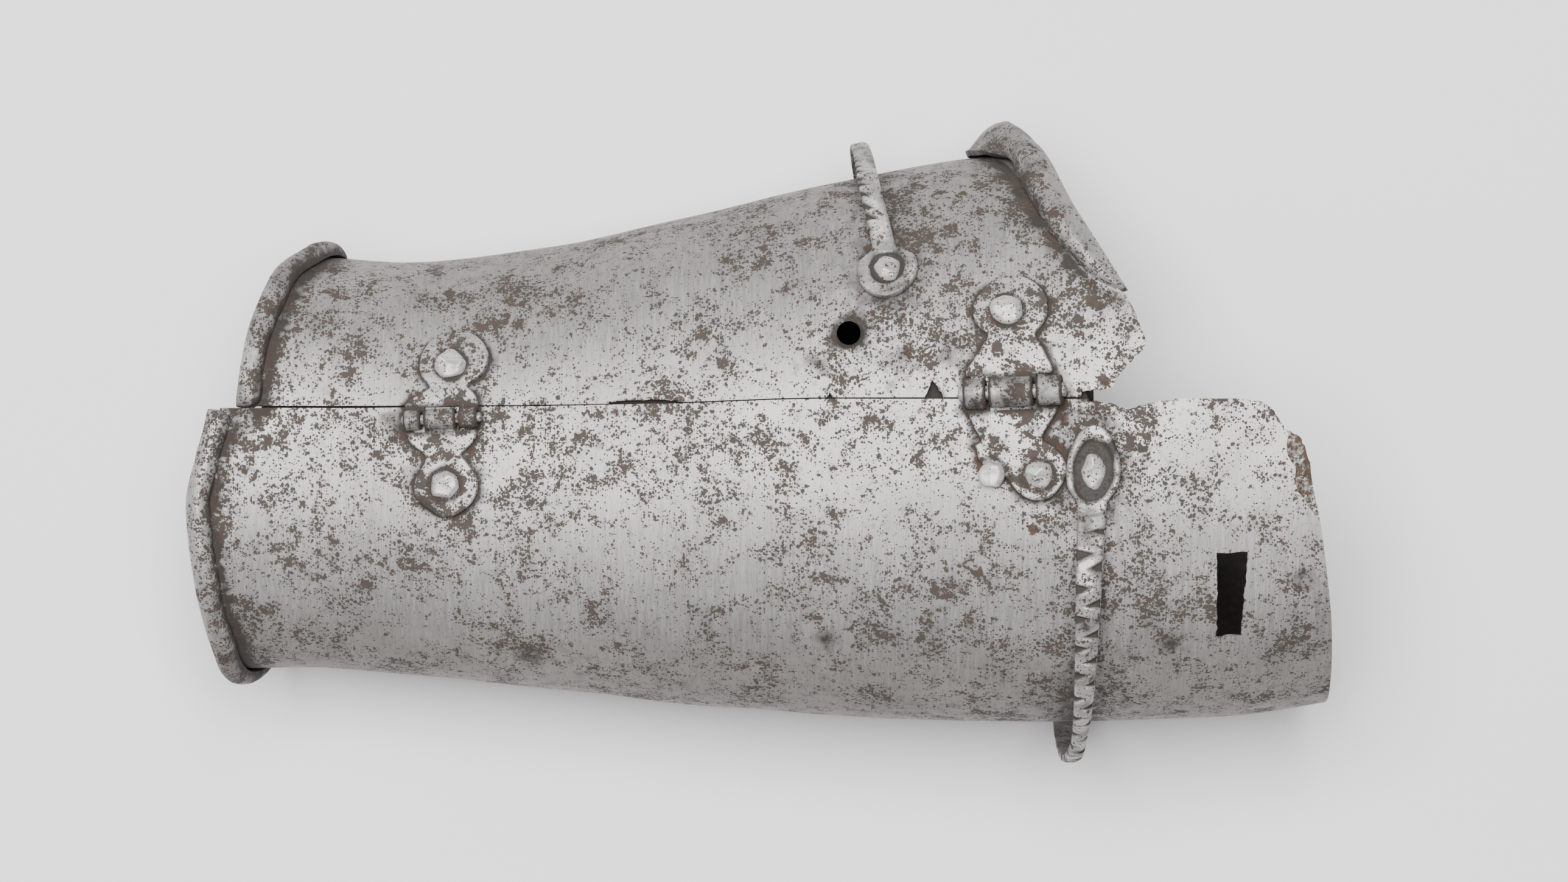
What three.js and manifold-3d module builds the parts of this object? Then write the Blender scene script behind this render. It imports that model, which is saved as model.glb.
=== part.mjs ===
// Lower cannon of a vambrace: armour for the forearm, two steel plates hinged along one seam.
// It lies with the hinges up. +X runs from wrist to elbow, +Y is the inner plate's side, +Z is up.
// Lengths are in millimetres and turns in degrees. A turn goes round the arm in a cross section:
// 0 on the inner crest (+Y), 90 on the hinge side, 180 on the outer crest, -90 or 270 underneath.

import * as THREE from 'three';
import { mergeVertices } from 'three/addons/utils/BufferGeometryUtils.js';
import Module from 'manifold-3d';

const wasm = await Module();
wasm.setup();

// Driving dimensions

// Outside of the closed armour in cross section: crests in Y, underside and hinge side in Z.
const SECTIONS = [
  { x: -125, inner: 41.5, outer: -48.2, under: 5.6, top: 69.0 },
  { x: -100, inner: 39.2, outer: -48.4, under: 4.3, top: 72.0 },
  { x: -80, inner: 38.0, outer: -49.7, under: 2.4, top: 74.8 },
  { x: -50, inner: 41.2, outer: -52.7, under: -0.2, top: 79.0 },
  { x: -20, inner: 47.7, outer: -55.8, under: -1.2, top: 83.2 },
  { x: 10, inner: 54.6, outer: -58.1, under: -1.2, top: 87.4 },
  { x: 40, inner: 59.8, outer: -59.3, under: -1.2, top: 91.4 },
  { x: 70, inner: 61.5, outer: -59.0, under: -1.2, top: 94.0 },
  { x: 90, inner: 61.8, outer: -58.5, under: -1.2, top: 94.6 },
  { x: 120, inner: 61.5, outer: -54.2, under: -1.1, top: 94.2 },
];
const ROUNDNESS = 2.2; // exponent of the oval cross section, 2 is an ellipse
const PLATE = 1.3; // plate thickness
const GAP = 0.3; // running gap between pieces that touch
const SEAM_GAP = 0.35; // between the two plates' edges on the hinge side
const LAP_GAP = 1.1; // between the plates where they lap underneath
const FLANGE = { width: 5.5, gap: 0.8, start: -109, end: 63 }; // outer plate's edge under the seam

// Where the hinge seam runs, in plan.
const SEAM = [
  { x: -125, y: 7.0 },
  { x: -71, y: 7.0 },
  { x: -24, y: 7.6 },
  { x: 9, y: 8.6 },
  { x: 38, y: 8.6 },
  { x: 64, y: 8.6 },
  { x: 120, y: 8.8 },
];

// Ends of the two plates round the arm.
const OUTER_WRIST = [
  { turn: 60, x: -119 },
  { turn: 79, x: -119.8 },
  { turn: 101, x: -124.2 },
  { turn: 123, x: -122.8 },
  { turn: 145, x: -120.5 },
  { turn: 165, x: -119 },
  { turn: 180, x: -117.5 },
  { turn: 200, x: -114.5 },
  { turn: 225, x: -113 },
  { turn: 285, x: -114 },
];
const OUTER_ELBOW = [
  { turn: 60, x: 106 },
  { turn: 96, x: 107.4 },
  { turn: 107, x: 109.5 },
  { turn: 115, x: 110.7 },
  { turn: 134, x: 112.8 },
  { turn: 157, x: 113.8 },
  { turn: 180, x: 114.2 },
  { turn: 220, x: 114 },
  { turn: 260, x: 112.8 },
  { turn: 275, x: 105.5 },
  { turn: 285, x: 105 },
];
const INNER_WRIST = [
  { turn: -100, x: -106 },
  { turn: -70, x: -103.5 },
  { turn: -40, x: -100 },
  { turn: -15, x: -98.5 },
  { turn: 0, x: -99.5 },
  { turn: 8, x: -101 },
  { turn: 20, x: -103.5 },
  { turn: 30, x: -107 },
  { turn: 43, x: -109.5 },
  { turn: 60, x: -112.3 },
  { turn: 85, x: -114.4 },
];
const INNER_ELBOW = [
  { turn: -100, x: 68 },
  { turn: -75, x: 67.5 },
  { turn: -60, x: 64.5 },
  { turn: -40, x: 58.5 },
  { turn: -20, x: 51.5 },
  { turn: 0, x: 50 },
  { turn: 20, x: 54 },
  { turn: 40, x: 61.5 },
  { turn: 58, x: 71.5 },
  { turn: 70, x: 78 },
  { turn: 90, x: 80 },
];

// Turned edges: from which turn to which, how wide and how high the hollow roll stands.
const ROLLS = {
  outerWrist: { from: 78.7, to: 277, steps: 17, width: 5.0, height: 3.6, taper: 0 },
  innerWrist: { from: -66, to: 76.5, steps: 13, width: 5.0, height: 3.5, taper: 0 },
  innerElbow: { from: -58, to: 60, steps: 14, width: 8.0, height: 3.9, taper: 14, tongue: true },
};
const TONGUE = { length: 7.0, halfTurn: 18, least: 0.3 }; // the elbow roll's flap at the crest
const ROLL_TURNS = [-90, -42, 5, 52, 100, 148, 196]; // round the roll's own hollow

const OUTER_CLOSING = 5.5; // the outer plate's lower edge, in Y from the section's middle
const INNER_CLOSING = -0.5; // the inner plate's lower edge, inside the outer one

// Cuts seen from above: broken edges, tears, the slot and the round hole.
const BROKEN_INNER_CORNER = [
  [72.0, 31.6], [73.6, 28.4], [75.0, 24.4], [76.2, 20.6], [75.6, 17.2], [73.2, 16.2], [71.6, 13.6],
  [69.9, 11.6], [67.0, 10.6], [63.4, 10.2], [63.0, 6.0], [90, 6.0], [90, 31.6],
];
const BROKEN_OUTER_EDGE = [
  [61.0, 12], [62.2, 8.3], [66.5, 7.6], [70.3, 6.5], [73.2, 7.2], [76.0, 8.0], [79.5, 8.2],
  [82.8, 12],
];
const BROKEN_OUTER_CORNER = [
  [92.5, 12], [94, 8.6], [97.6, 7.9], [99.6, 6.6], [100.7, 4.8], [102.2, 2.6], [105.2, 0.9],
  [106.2, -1.0], [107.2, -4.2], [112, -4.2], [112, 12],
];
const EDGE_TEARS = [
  [[27.8, 6], [28.8, 8.6], [30.3, 12.4], [32.6, 9.4], [33.2, 6]],
  [[8.2, 6], [8.7, 8.6], [9.3, 9.9], [10.1, 8.6], [10.6, 6]],
];
const SLOT = [[88.4, -22.9], [94.8, -22.7], [94.0, -39.8], [89.0, -40.2]];
const ROUND_HOLE = { x: 13.3, y: 22.2, radius: 2.45 };

// The hinge axis passes through the middles of both barrels.
const HINGES = {
  small: {
    at: [-70.4, 4.6, 78.2],
    barrel: 2.1,
    bore: 1.4,
    pin: 1.05,
    pinSpan: [-8.8, 8.2],
    leaf: 1.3,
    innerKnuckles: [[-8.2, -4.4], [3.3, 7.3]],
    outerKnuckles: [[-4.0, 2.9]],
  },
  large: {
    at: [46.6, 10.0, 95.4],
    barrel: 3.1,
    bore: 1.9,
    pin: 1.5,
    pinSpan: [-11.2, 11.0],
    leaf: 1.5,
    innerKnuckles: [[-4.9, 4.4]],
    outerKnuckles: [[-10.0, -5.3], [4.8, 10.2]],
  },
};
const SLOT_CLEARANCE = 0.5; // between a knuckle and the slot that it turns in
const KNUCKLE_END_GAP = 0.3;

// Outlines of the hinge leaves: distance away from the axis, then the left and right edges.
const LEAVES = {
  smallInner: [
    [0, -8.2, 7.3], [2.9, -8.0, 7.3], [4.2, -6.5, 6.9], [5.5, -4.0, 5.8], [6.3, -2.9, 5.0],
    [7.2, -3.4, 6.2], [8.6, -4.6, 8.1], [10.5, -5.1, 9.2], [12.5, -4.9, 9.4], [14.5, -3.9, 8.6],
    [16.0, -2.4, 7.2], [17.2, 0.6, 5.0],
  ],
  smallOuter: [
    [0, -7.7, 7.2], [2.9, -7.7, 7.2], [4.1, -7.2, 7.0], [5.2, -6.4, 6.4], [6.6, -4.6, 4.9],
    [7.6, -3.6, 3.9], [8.6, -3.7, 4.6], [10.2, -4.6, 5.8], [12.0, -5.6, 6.9], [13.8, -6.0, 7.4],
    [15.5, -5.9, 7.2], [17.3, -4.4, 6.3], [18.6, -2.7, 5.0], [19.7, -1.2, 3.2], [20.2, 0.0, 1.8],
  ],
  largeInner: [
    [0, -9.3, 8.3], [4.2, -9.4, 8.4], [6.5, -8.0, 7.4], [9.0, -6.4, 6.2], [11.6, -4.8, 4.9],
    [12.4, -5.6, 5.6], [14.0, -7.2, 6.9], [16.0, -7.9, 7.5], [18.0, -7.6, 7.5], [20.0, -6.4, 6.6],
    [22.0, -4.2, 4.6], [23.3, -1.5, 1.8],
  ],
  largeOuter: [
    [0, -9.9, 10.1], [3.3, -9.4, 9.7], [5.0, -8.6, 8.9], [7.0, -7.7, 7.6], [9.9, -6.3, 6.3],
    [10.5, -7.5, 7.0], [11.5, -7.2, 8.6], [13.0, -6.9, 10.0], [14.3, -6.2, 10.8],
    [15.6, -4.2, 11.2], [17.0, -1.7, 11.2], [18.3, -0.3, 10.8], [19.8, 0.8, 9.9],
    [21.4, 2.7, 8.4], [22.2, 4.6, 6.6],
  ],
};

const RIVET = { shank: 1.5, hole: 1.85, tail: 2.4, tailHeight: 0.8, tailGap: 0.6, sides: 10 };
// Hinge rivets: along the barrel and away from the axis, with the radius of the head.
const HINGE_RIVETS = [
  { name: 'small_hinge_inner_rivet', hinge: 'small', side: 1, along: 1.6, away: 11.3, head: 3.1 },
  { name: 'small_hinge_outer_rivet', hinge: 'small', side: -1, along: 0.6, away: 13.6, head: 2.95 },
  { name: 'large_hinge_inner_rivet', hinge: 'large', side: 1, along: -1.4, away: 16.9, head: 3.15 },
  { name: 'large_hinge_outer_rivet_1', hinge: 'large', side: -1, along: -4.1, away: 16.5, head: 2.6 },
  { name: 'large_hinge_outer_rivet_2', hinge: 'large', side: -1, along: 5.6, away: 17.2, head: 2.6 },
];
const RIVET_HEAD_HEIGHT = 1.9;

// Arched strap loops: two eyes riveted to the plate with a notched bar standing off between them.
const LOOPS = {
  inner: {
    eyeTurn: 52.5,
    farTurn: -34,
    drift: [{ turn: -60, x: 13.5 }, { turn: 0, x: 16.6 }, { turn: 25, x: 18.2 }, { turn: 52.5, x: 21.6 }],
    eye: 6.2,
    bar: 1.6,
    eyeThick: 1.6,
    standoff: 5.7,
    rise: 13,
    widthAtEye: 2.5,
    widthAtCrest: 1.9,
    headRadius: 2.4,
    notches: 19,
  },
  outer: {
    eyeTurn: 99.2,
    farTurn: 222,
    drift: [{ turn: 99, x: 63.2 }, { turn: 130, x: 62.4 }, { turn: 180, x: 60.6 }, { turn: 240, x: 58.5 }],
    eye: 6.0,
    bar: 1.8,
    eyeThick: 1.8,
    standoff: 7.0,
    rise: 15,
    widthAtEye: 3.0,
    widthAtCrest: 2.1,
    headRadius: 2.6,
    notches: 31,
  },
};
const NOTCH_DEPTH = 1.0;

// Small helpers

const radians = THREE.MathUtils.degToRad;

// Smooth monotone reading of a table column at a place between its rows.
function read(table, key, column, at) {
  const last = table.length - 1;
  const xs = table.map((row) => row[key]);
  const ys = table.map((row) => row[column]);
  const x = Math.min(Math.max(at, xs[0]), xs[last]);
  let i = 0;
  while (i < last - 1 && x > xs[i + 1]) i += 1;
  const slope = (k) => (ys[k + 1] - ys[k]) / (xs[k + 1] - xs[k]);
  const tangent = (k) => {
    if (k === 0) return slope(0);
    if (k === last) return slope(last - 1);
    const before = slope(k - 1);
    const after = slope(k);
    return before * after > 0 ? (2 * before * after) / (before + after) : 0;
  };
  const span = xs[i + 1] - xs[i];
  const t = (x - xs[i]) / span;
  const rest = 1 - t;
  return ys[i] * (1 + 2 * t) * rest * rest + span * tangent(i) * t * rest * rest
    + ys[i + 1] * t * t * (3 - 2 * t) + span * tangent(i + 1) * t * t * (t - 1);
}

function smoothStep(from, to, value) {
  return THREE.MathUtils.smoothstep(value, from, to);
}

// Cross section at x: middle and half size in Y and Z.
function section(x) {
  const [inner, outer, under, top] = ['inner', 'outer', 'under', 'top']
    .map((column) => read(SECTIONS, 'x', column, x));
  return {
    y: (inner + outer) / 2,
    halfY: (inner - outer) / 2,
    z: (top + under) / 2,
    halfZ: (top - under) / 2,
  };
}

function rounded(value) {
  return Math.sign(value) * Math.abs(value) ** (2 / ROUNDNESS);
}

// Point on the outside, flattened where the armour rests on its underside.
function surface(x, turn) {
  const cut = section(x);
  const y = cut.y + cut.halfY * rounded(Math.cos(radians(turn)));
  const z = cut.z + cut.halfZ * rounded(Math.sin(radians(turn)));
  return new THREE.Vector3(x, y, Math.max(z, 0));
}

function normal(x, turn) {
  const alongX = surface(x + 0.5, turn).sub(surface(x - 0.5, turn));
  const round = surface(x, turn + 0.5).sub(surface(x, turn - 0.5));
  return round.cross(alongX).normalize();
}

// The point at a height over the outside, negative below it.
function over(x, turn, height) {
  return surface(x, turn).addScaledVector(normal(x, turn), height);
}

// Turn of the point on the hinge side, or underneath, that stands at y.
function turnAt(x, y, up = 1) {
  const cut = section(x);
  const share = (y - cut.y) / cut.halfY;
  const cosine = Math.sign(share) * Math.abs(share) ** (ROUNDNESS / 2);
  return up * THREE.MathUtils.radToDeg(Math.acos(THREE.MathUtils.clamp(cosine, -1, 1)));
}

// Solids from geometry and back

function signedVolume(points, triangles) {
  let six = 0;
  const corner = (index) => new THREE.Vector3().fromArray(points, 3 * index);
  for (let i = 0; i < triangles.length; i += 3) {
    const [a, b, c] = [0, 1, 2].map((k) => corner(triangles[i + k]));
    six += a.dot(b.cross(c));
  }
  return six / 6;
}

function solid(geometry) {
  geometry.deleteAttribute('normal');
  geometry.deleteAttribute('uv');
  const merged = mergeVertices(geometry, 1e-4);
  const points = new Float32Array(merged.getAttribute('position').array);
  const all = merged.index.array;
  const kept = [];
  for (let i = 0; i < all.length; i += 3) {
    const [a, b, c] = [all[i], all[i + 1], all[i + 2]];
    if (a !== b && b !== c && a !== c) kept.push(a, b, c);
  }
  if (signedVolume(points, kept) < 0) kept.reverse();
  return new wasm.Manifold(new wasm.Mesh({
    numProp: 3,
    vertProperties: points,
    triVerts: new Uint32Array(kept),
  }));
}

function toGeometry(body) {
  const mesh = body.getMesh();
  const geometry = new THREE.BufferGeometry();
  geometry.setAttribute('position', new THREE.BufferAttribute(mesh.vertProperties.slice(), 3));
  geometry.setIndex(new THREE.BufferAttribute(mesh.triVerts.slice(), 1));
  const flat = geometry.toNonIndexed();
  flat.computeVertexNormals();
  return flat;
}

// A closed sheet from two faces, each a grid of points with the same rows and columns.
function sheet(front, back) {
  const rows = front.length;
  const columns = front[0].length;
  const points = [...front.flat(), ...back.flat()].flatMap((point) => point.toArray());
  const at = (face, i, j) => face * rows * columns + i * columns + j;
  const triangles = [];
  const quad = (a, b, c, d) => triangles.push(a, b, c, a, c, d);
  for (let i = 0; i < rows - 1; i += 1) {
    for (let j = 0; j < columns - 1; j += 1) {
      quad(at(0, i, j), at(0, i + 1, j), at(0, i + 1, j + 1), at(0, i, j + 1));
      quad(at(1, i, j), at(1, i, j + 1), at(1, i + 1, j + 1), at(1, i + 1, j));
    }
    quad(at(0, i, 0), at(1, i, 0), at(1, i + 1, 0), at(0, i + 1, 0));
    quad(at(0, i, columns - 1), at(0, i + 1, columns - 1), at(1, i + 1, columns - 1),
      at(1, i, columns - 1));
  }
  for (let j = 0; j < columns - 1; j += 1) {
    quad(at(0, 0, j), at(0, 0, j + 1), at(1, 0, j + 1), at(1, 0, j));
    quad(at(0, rows - 1, j), at(1, rows - 1, j), at(1, rows - 1, j + 1), at(0, rows - 1, j + 1));
  }
  const geometry = new THREE.BufferGeometry();
  geometry.setAttribute('position', new THREE.Float32BufferAttribute(points, 3));
  geometry.setIndex(triangles);
  return solid(geometry);
}

function cylinder(radius, length, sides = 16) {
  return new THREE.CylinderGeometry(radius, radius, length, sides);
}

// Turns a shape made along Y so that it stands along a direction, at a point.
function stand(geometry, direction, point) {
  const turn = new THREE.Quaternion().setFromUnitVectors(new THREE.Vector3(0, 1, 0), direction);
  return geometry.applyQuaternion(turn).translate(point.x, point.y, point.z);
}

// An upright prism over an outline seen from above, to cut a plate's upper side.
function prism(outline, low = 55, high = 110) {
  const shape = new THREE.Shape(outline.map(([x, y]) => new THREE.Vector2(x, y)));
  const geometry = new THREE.ExtrudeGeometry(shape, { depth: high - low, bevelEnabled: false });
  return solid(geometry.translate(0, 0, low));
}

// A hole square to the outside at a turn, through everything near the plate.
function drill(x, turn, radius, low = -6, high = 8) {
  const middle = over(x, turn, (low + high) / 2);
  return solid(stand(cylinder(radius, high - low, 12), normal(x, turn), middle));
}

// The plates

const ROWS = 9;
const OUTER_COLUMNS = 21;
const INNER_COLUMNS = 18;

// How much of its full size a roll has at a turn: the elbow roll narrows to a point.
function rollSize(spec, turn) {
  const share = THREE.MathUtils.clamp((spec.to - turn) / (spec.taper || 1), 0, 1);
  return spec.taper ? 0.42 + 0.58 * Math.sqrt(share) : 1;
}

// The plate's own sheet stops under the middle of its turned edge.
const PLATE_ENDS = {
  outerWrist: (turn) => read(OUTER_WRIST, 'turn', 'x', turn) + ROLLS.outerWrist.width / 2,
  outerElbow: (turn) => read(OUTER_ELBOW, 'turn', 'x', turn),
  innerWrist: (turn) => read(INNER_WRIST, 'turn', 'x', turn) + ROLLS.innerWrist.width / 2,
  innerElbow: (turn) => {
    const spec = ROLLS.innerElbow;
    const rolled = smoothStep(spec.from - 6, spec.from, turn) * smoothStep(-spec.to - 6, -spec.to, -turn);
    return read(INNER_ELBOW, 'turn', 'x', turn) - rolled * rollSize(spec, turn) * spec.width / 2;
  },
};

// A plate from its columns, each a turn and how deep the sheet lies there under the outside.
function plate(columns, wrist, elbow) {
  const front = [];
  const back = [];
  for (let i = 0; i < ROWS; i += 1) {
    const share = i / (ROWS - 1);
    const place = (turn) => THREE.MathUtils.lerp(wrist(turn), elbow(turn), share);
    const line = columns(place);
    front.push(line.map(({ turn, depth }) => over(place(turn), turn, -depth)));
    back.push(line.map(({ turn, depth }) => over(place(turn), turn, -depth - PLATE)));
  }
  return sheet(front, back);
}

function even(from, to, count) {
  return Array.from({ length: count }, (_, i) => THREE.MathUtils.lerp(from, to, i / (count - 1)));
}

// How deep the inner plate sinks at a turn, to pass under the outer plate's lower edge.
function lapDepth(turn) {
  return (PLATE + LAP_GAP) * smoothStep(38, 68, -turn);
}

// Columns of the outer plate: plain from the hinge seam round the outer crest to its lower edge.
function outerColumns(place) {
  const x = place(90);
  const seam = turnAt(x, read(SEAM, 'x', 'y', x));
  const lower = 360 + turnAt(place(270), section(place(270)).y + OUTER_CLOSING, -1);
  return even(seam, lower, OUTER_COLUMNS).map((turn) => ({ turn, depth: 0 }));
}

// Columns of the inner plate: its lower part sinks under the outer plate's edge.
function innerColumns(place) {
  const x = place(80);
  const seam = turnAt(x, read(SEAM, 'x', 'y', x) + SEAM_GAP);
  const lower = turnAt(place(-90), section(place(-90)).y + INNER_CLOSING, -1);
  return even(seam, lower, INNER_COLUMNS).map((turn) => ({ turn, depth: lapDepth(turn) }));
}

// The outer plate's stepped edge that runs under the inner plate along the hinge seam.
function flange() {
  const rows = even(FLANGE.start, FLANGE.end, 7);
  const under = PLATE + FLANGE.gap;
  const profile = [
    { away: FLANGE.width, top: under, foot: under + PLATE },
    { away: 1.0, top: under, foot: under + PLATE },
    { away: -0.9, top: under - 0.2, foot: under + PLATE },
    { away: -2.4, top: PLATE - 0.5, foot: under + PLATE * 0.7 },
    { away: -5.5, top: PLATE - 0.5, foot: PLATE + 0.05 },
  ];
  const face = (depth) => rows.map((x) => profile.map((step) => {
    const turn = turnAt(x, read(SEAM, 'x', 'y', x) + step.away);
    return over(x, turn, -step[depth]);
  }));
  return sheet(face('top'), face('foot'));
}

// The rows of a roll in its own section: where the sheet's middle lies back from the roll's
// middle and up from the plate's, with the share of the sheet's thickness there.
function rollRows(spec, turn) {
  const size = rollSize(spec, turn);
  const reach = (spec.width * size - PLATE) / 2;
  const rise = (spec.height * size) / 2;
  const inPlate = { back: 2.0, up: 0, tilt: -90, share: 0.85 };
  const around = ROLL_TURNS.map((tilt) => ({
    back: -reach * Math.cos(radians(tilt)),
    up: rise + rise * Math.sin(radians(tilt)),
    tilt,
    share: 1,
  }));
  if (!spec.tongue) return [inPlate, ...around];
  const spread = Math.max(1 - (turn / TONGUE.halfTurn) ** 2, 0);
  const tongue = {
    back: reach + TONGUE.least + TONGUE.length * spread,
    up: PLATE + GAP + 0.2,
    tilt: 196,
    share: 1,
  };
  return [inPlate, ...around, tongue];
}

// A hollow roll turned outwards over a plate's end. towards is 1 at the elbow, -1 at the wrist.
function roll(spec, end, towards, sink = () => 0) {
  const turns = even(spec.from, spec.to, spec.steps);
  const columns = turns.map((turn) => {
    const middle = read(end, 'turn', 'x', turn) - (towards * spec.width * rollSize(spec, turn)) / 2;
    return { turn, middle, rows: rollRows(spec, turn) };
  });
  const face = (side) => columns[0].rows.map((_, i) => columns.map(({ turn, middle, rows }) => {
    const { back, up, tilt, share } = rows[i];
    const half = (side * share * PLATE) / 2;
    const x = middle - towards * (back - half * Math.cos(radians(tilt)));
    return over(x, turn, up + half * Math.sin(radians(tilt)) - PLATE / 2 - sink(turn));
  }));
  return sheet(face(1), face(-1));
}

// Hinges

const smallAt = new THREE.Vector3(...HINGES.small.at);
const largeAt = new THREE.Vector3(...HINGES.large.at);
const hingeAxis = largeAt.clone().sub(smallAt).normalize();

function onAxis(hinge, along) {
  return new THREE.Vector3(...hinge.at).addScaledVector(hingeAxis, along);
}

// A full knuckle. The bore is cut through the whole leaf afterwards.
function knuckle(hinge, [from, to]) {
  const shape = cylinder(hinge.barrel, to - from, 12);
  return solid(stand(shape, hingeAxis, onAxis(hinge, (from + to) / 2)));
}

function boreCut(hinge) {
  return solid(stand(cylinder(hinge.bore, 40), hingeAxis, onAxis(hinge, 0)));
}

// Room round the other leaf's knuckle, down to the plate.
function knuckleRoom(hinge, [from, to]) {
  const half = hinge.barrel + SLOT_CLEARANCE;
  const length = to - from + 2 * KNUCKLE_END_GAP;
  const room = new THREE.BoxGeometry(length, 2 * half, 3 * half);
  const turn = new THREE.Quaternion().setFromUnitVectors(new THREE.Vector3(1, 0, 0), hingeAxis);
  const middle = onAxis(hinge, (from + to) / 2);
  return solid(room.applyQuaternion(turn).translate(middle.x, middle.y, middle.z - half / 2));
}

// The flat of a leaf, bent to lie on the plate. side is 1 on the inner plate, -1 on the outer.
function leafFlat(hinge, outline, side) {
  const face = (height) => outline.map(([away, ...edges]) => edges.map((along) => {
    const on = onAxis(hinge, along);
    return over(on.x, turnAt(on.x, on.y + side * away), height);
  }));
  return sheet(face(GAP + hinge.leaf), face(GAP));
}

function leaf(hinge, outline, side) {
  const own = side > 0 ? hinge.innerKnuckles : hinge.outerKnuckles;
  const other = side > 0 ? hinge.outerKnuckles : hinge.innerKnuckles;
  let body = leafFlat(hinge, outline, side);
  other.forEach((span) => { body = body.subtract(knuckleRoom(hinge, span)); });
  own.forEach((span) => { body = body.add(knuckle(hinge, span)); });
  return body.subtract(boreCut(hinge));
}

function hingePin(hinge) {
  const [from, to] = hinge.pinSpan;
  return solid(stand(cylinder(hinge.pin, to - from, 16), hingeAxis, onAxis(hinge, (from + to) / 2)));
}

// Rivets

// A domed rivet with its peened tail inside the plate. lift is the head's seat over the plate.
function rivet(x, turn, headRadius, lift) {
  const under = -(PLATE + RIVET.tailGap);
  const outline = [
    [0, under - RIVET.tailHeight],
    [RIVET.tail * 0.8, under - RIVET.tailHeight],
    [RIVET.tail, under],
    [RIVET.shank, under],
    [RIVET.shank, lift],
    [headRadius, lift],
    [headRadius * 0.96, lift + RIVET_HEAD_HEIGHT * 0.4],
    [headRadius * 0.6, lift + RIVET_HEAD_HEIGHT * 0.88],
    [0, lift + RIVET_HEAD_HEIGHT],
  ].map(([r, h]) => new THREE.Vector2(r, h));
  const shape = new THREE.LatheGeometry(outline, RIVET.sides);
  return solid(stand(shape, normal(x, turn), surface(x, turn)));
}

function hingeRivetPlace(spec) {
  const on = onAxis(HINGES[spec.hinge], spec.along);
  const y = on.y + spec.side * spec.away;
  return { x: on.x, turn: turnAt(on.x, y) };
}

// Strap loops

const EYE_STEPS = 4;

// Stations along a loop: distance, half widths to each side, standoff and thickness.
function loopStations(loop) {
  const cut = section(loop.drift[1].x);
  const radius = (cut.halfY + cut.halfZ) / 2;
  const length = radians(Math.abs(loop.farTurn - loop.eyeTurn)) * radius;
  const arm = (s) => {
    const middle = Math.min(s, length - s) / (length / 2);
    return THREE.MathUtils.lerp(loop.widthAtEye, loop.widthAtCrest, THREE.MathUtils.clamp(middle, 0, 1));
  };
  const stations = [];
  const put = (s, left, right) => stations.push({ s, left, right });
  const eye = (middle, direction) => {
    for (let i = 0; i <= 2 * EYE_STEPS; i += 1) {
      const angle = (Math.PI * (i + 0.35)) / (2 * EYE_STEPS + 0.7);
      const s = middle - direction * loop.eye * Math.cos(angle);
      const half = loop.eye * Math.sin(angle);
      if (direction * (s - middle) < loop.eye * 0.86) put(s, half, half);
    }
  };
  eye(0, 1);
  const start = loop.eye + 1.0;
  const pitch = (length - 2 * start) / loop.notches;
  for (let i = 0; i < loop.notches; i += 1) {
    const s = start + i * pitch;
    const notched = arm(s + pitch * 0.5) - NOTCH_DEPTH;
    put(s + pitch * 0.1, arm(s), arm(s));
    put(s + pitch * 0.5, i % 2 ? notched : arm(s), i % 2 ? arm(s) : notched);
    put(s + pitch * 0.9, arm(s), arm(s));
  }
  eye(length, -1);
  stations.sort((a, b) => a.s - b.s);
  return { stations, length, radius };
}

function loopShape(loop, arch) {
  const { stations, length, radius } = arch;
  const direction = Math.sign(loop.farTurn - loop.eyeTurn);
  const drop = loop.eye + 1;
  const standoff = (s) => {
    const inside = Math.min(s, length - s) - drop + 2;
    return GAP + (loop.standoff - GAP) * smoothStep(0, loop.rise, inside);
  };
  const thick = (s) => THREE.MathUtils.lerp(loop.eyeThick, loop.bar, smoothStep(0, drop, s));
  const face = (top) => stations.map(({ s, left, right }) => {
    const turn = loop.eyeTurn + direction * THREE.MathUtils.radToDeg(s / radius);
    const x = read(loop.drift, 'turn', 'x', turn);
    const height = standoff(s) + (top ? thick(s) : 0);
    return [x - left, x + right].map((edge) => over(edge, turn, height));
  });
  return sheet(face(true), face(false));
}

const LOOP_LIFT = 1.0; // the rivet's head sits in a sunk seat this high over the plate
const SEAT_CLEARANCE = 0.35;

function makeLoop(name, loop) {
  const arch = loopStations(loop);
  const ends = [loop.eyeTurn, loop.farTurn].map((turn) => ({
    x: read(loop.drift, 'turn', 'x', turn),
    turn,
  }));
  let body = loopShape(loop, arch);
  const rivets = ends.map((end, i) => {
    body = body.subtract(drill(end.x, end.turn, RIVET.hole));
    body = body.subtract(drill(end.x, end.turn, loop.headRadius + SEAT_CLEARANCE, LOOP_LIFT - GAP, 9));
    return { name: `${name}_rivet_${i + 1}`, body: rivet(end.x, end.turn, loop.headRadius, LOOP_LIFT) };
  });
  return { body, rivets, ends };
}

// Assembly

const armour = new THREE.Group();

const LOOKS = {
  plate: { color: 0xa9a7a4, roughness: 0.42, metalness: 0.85 },
  hinge: { color: 0xb3b1ae, roughness: 0.38, metalness: 0.85 },
  rivet: { color: 0xc4c2be, roughness: 0.32, metalness: 0.9 },
  loop: { color: 0x9a9895, roughness: 0.4, metalness: 0.85 },
};

function addPiece(name, body, look) {
  const mesh = new THREE.Mesh(toGeometry(body), new THREE.MeshStandardMaterial(LOOKS[look]));
  mesh.name = name;
  armour.add(mesh);
}

const innerLoop = makeLoop('inner_loop', LOOPS.inner);
const outerLoop = makeLoop('outer_loop', LOOPS.outer);
const rivetPlaces = HINGE_RIVETS.map(hingeRivetPlace);

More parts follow.
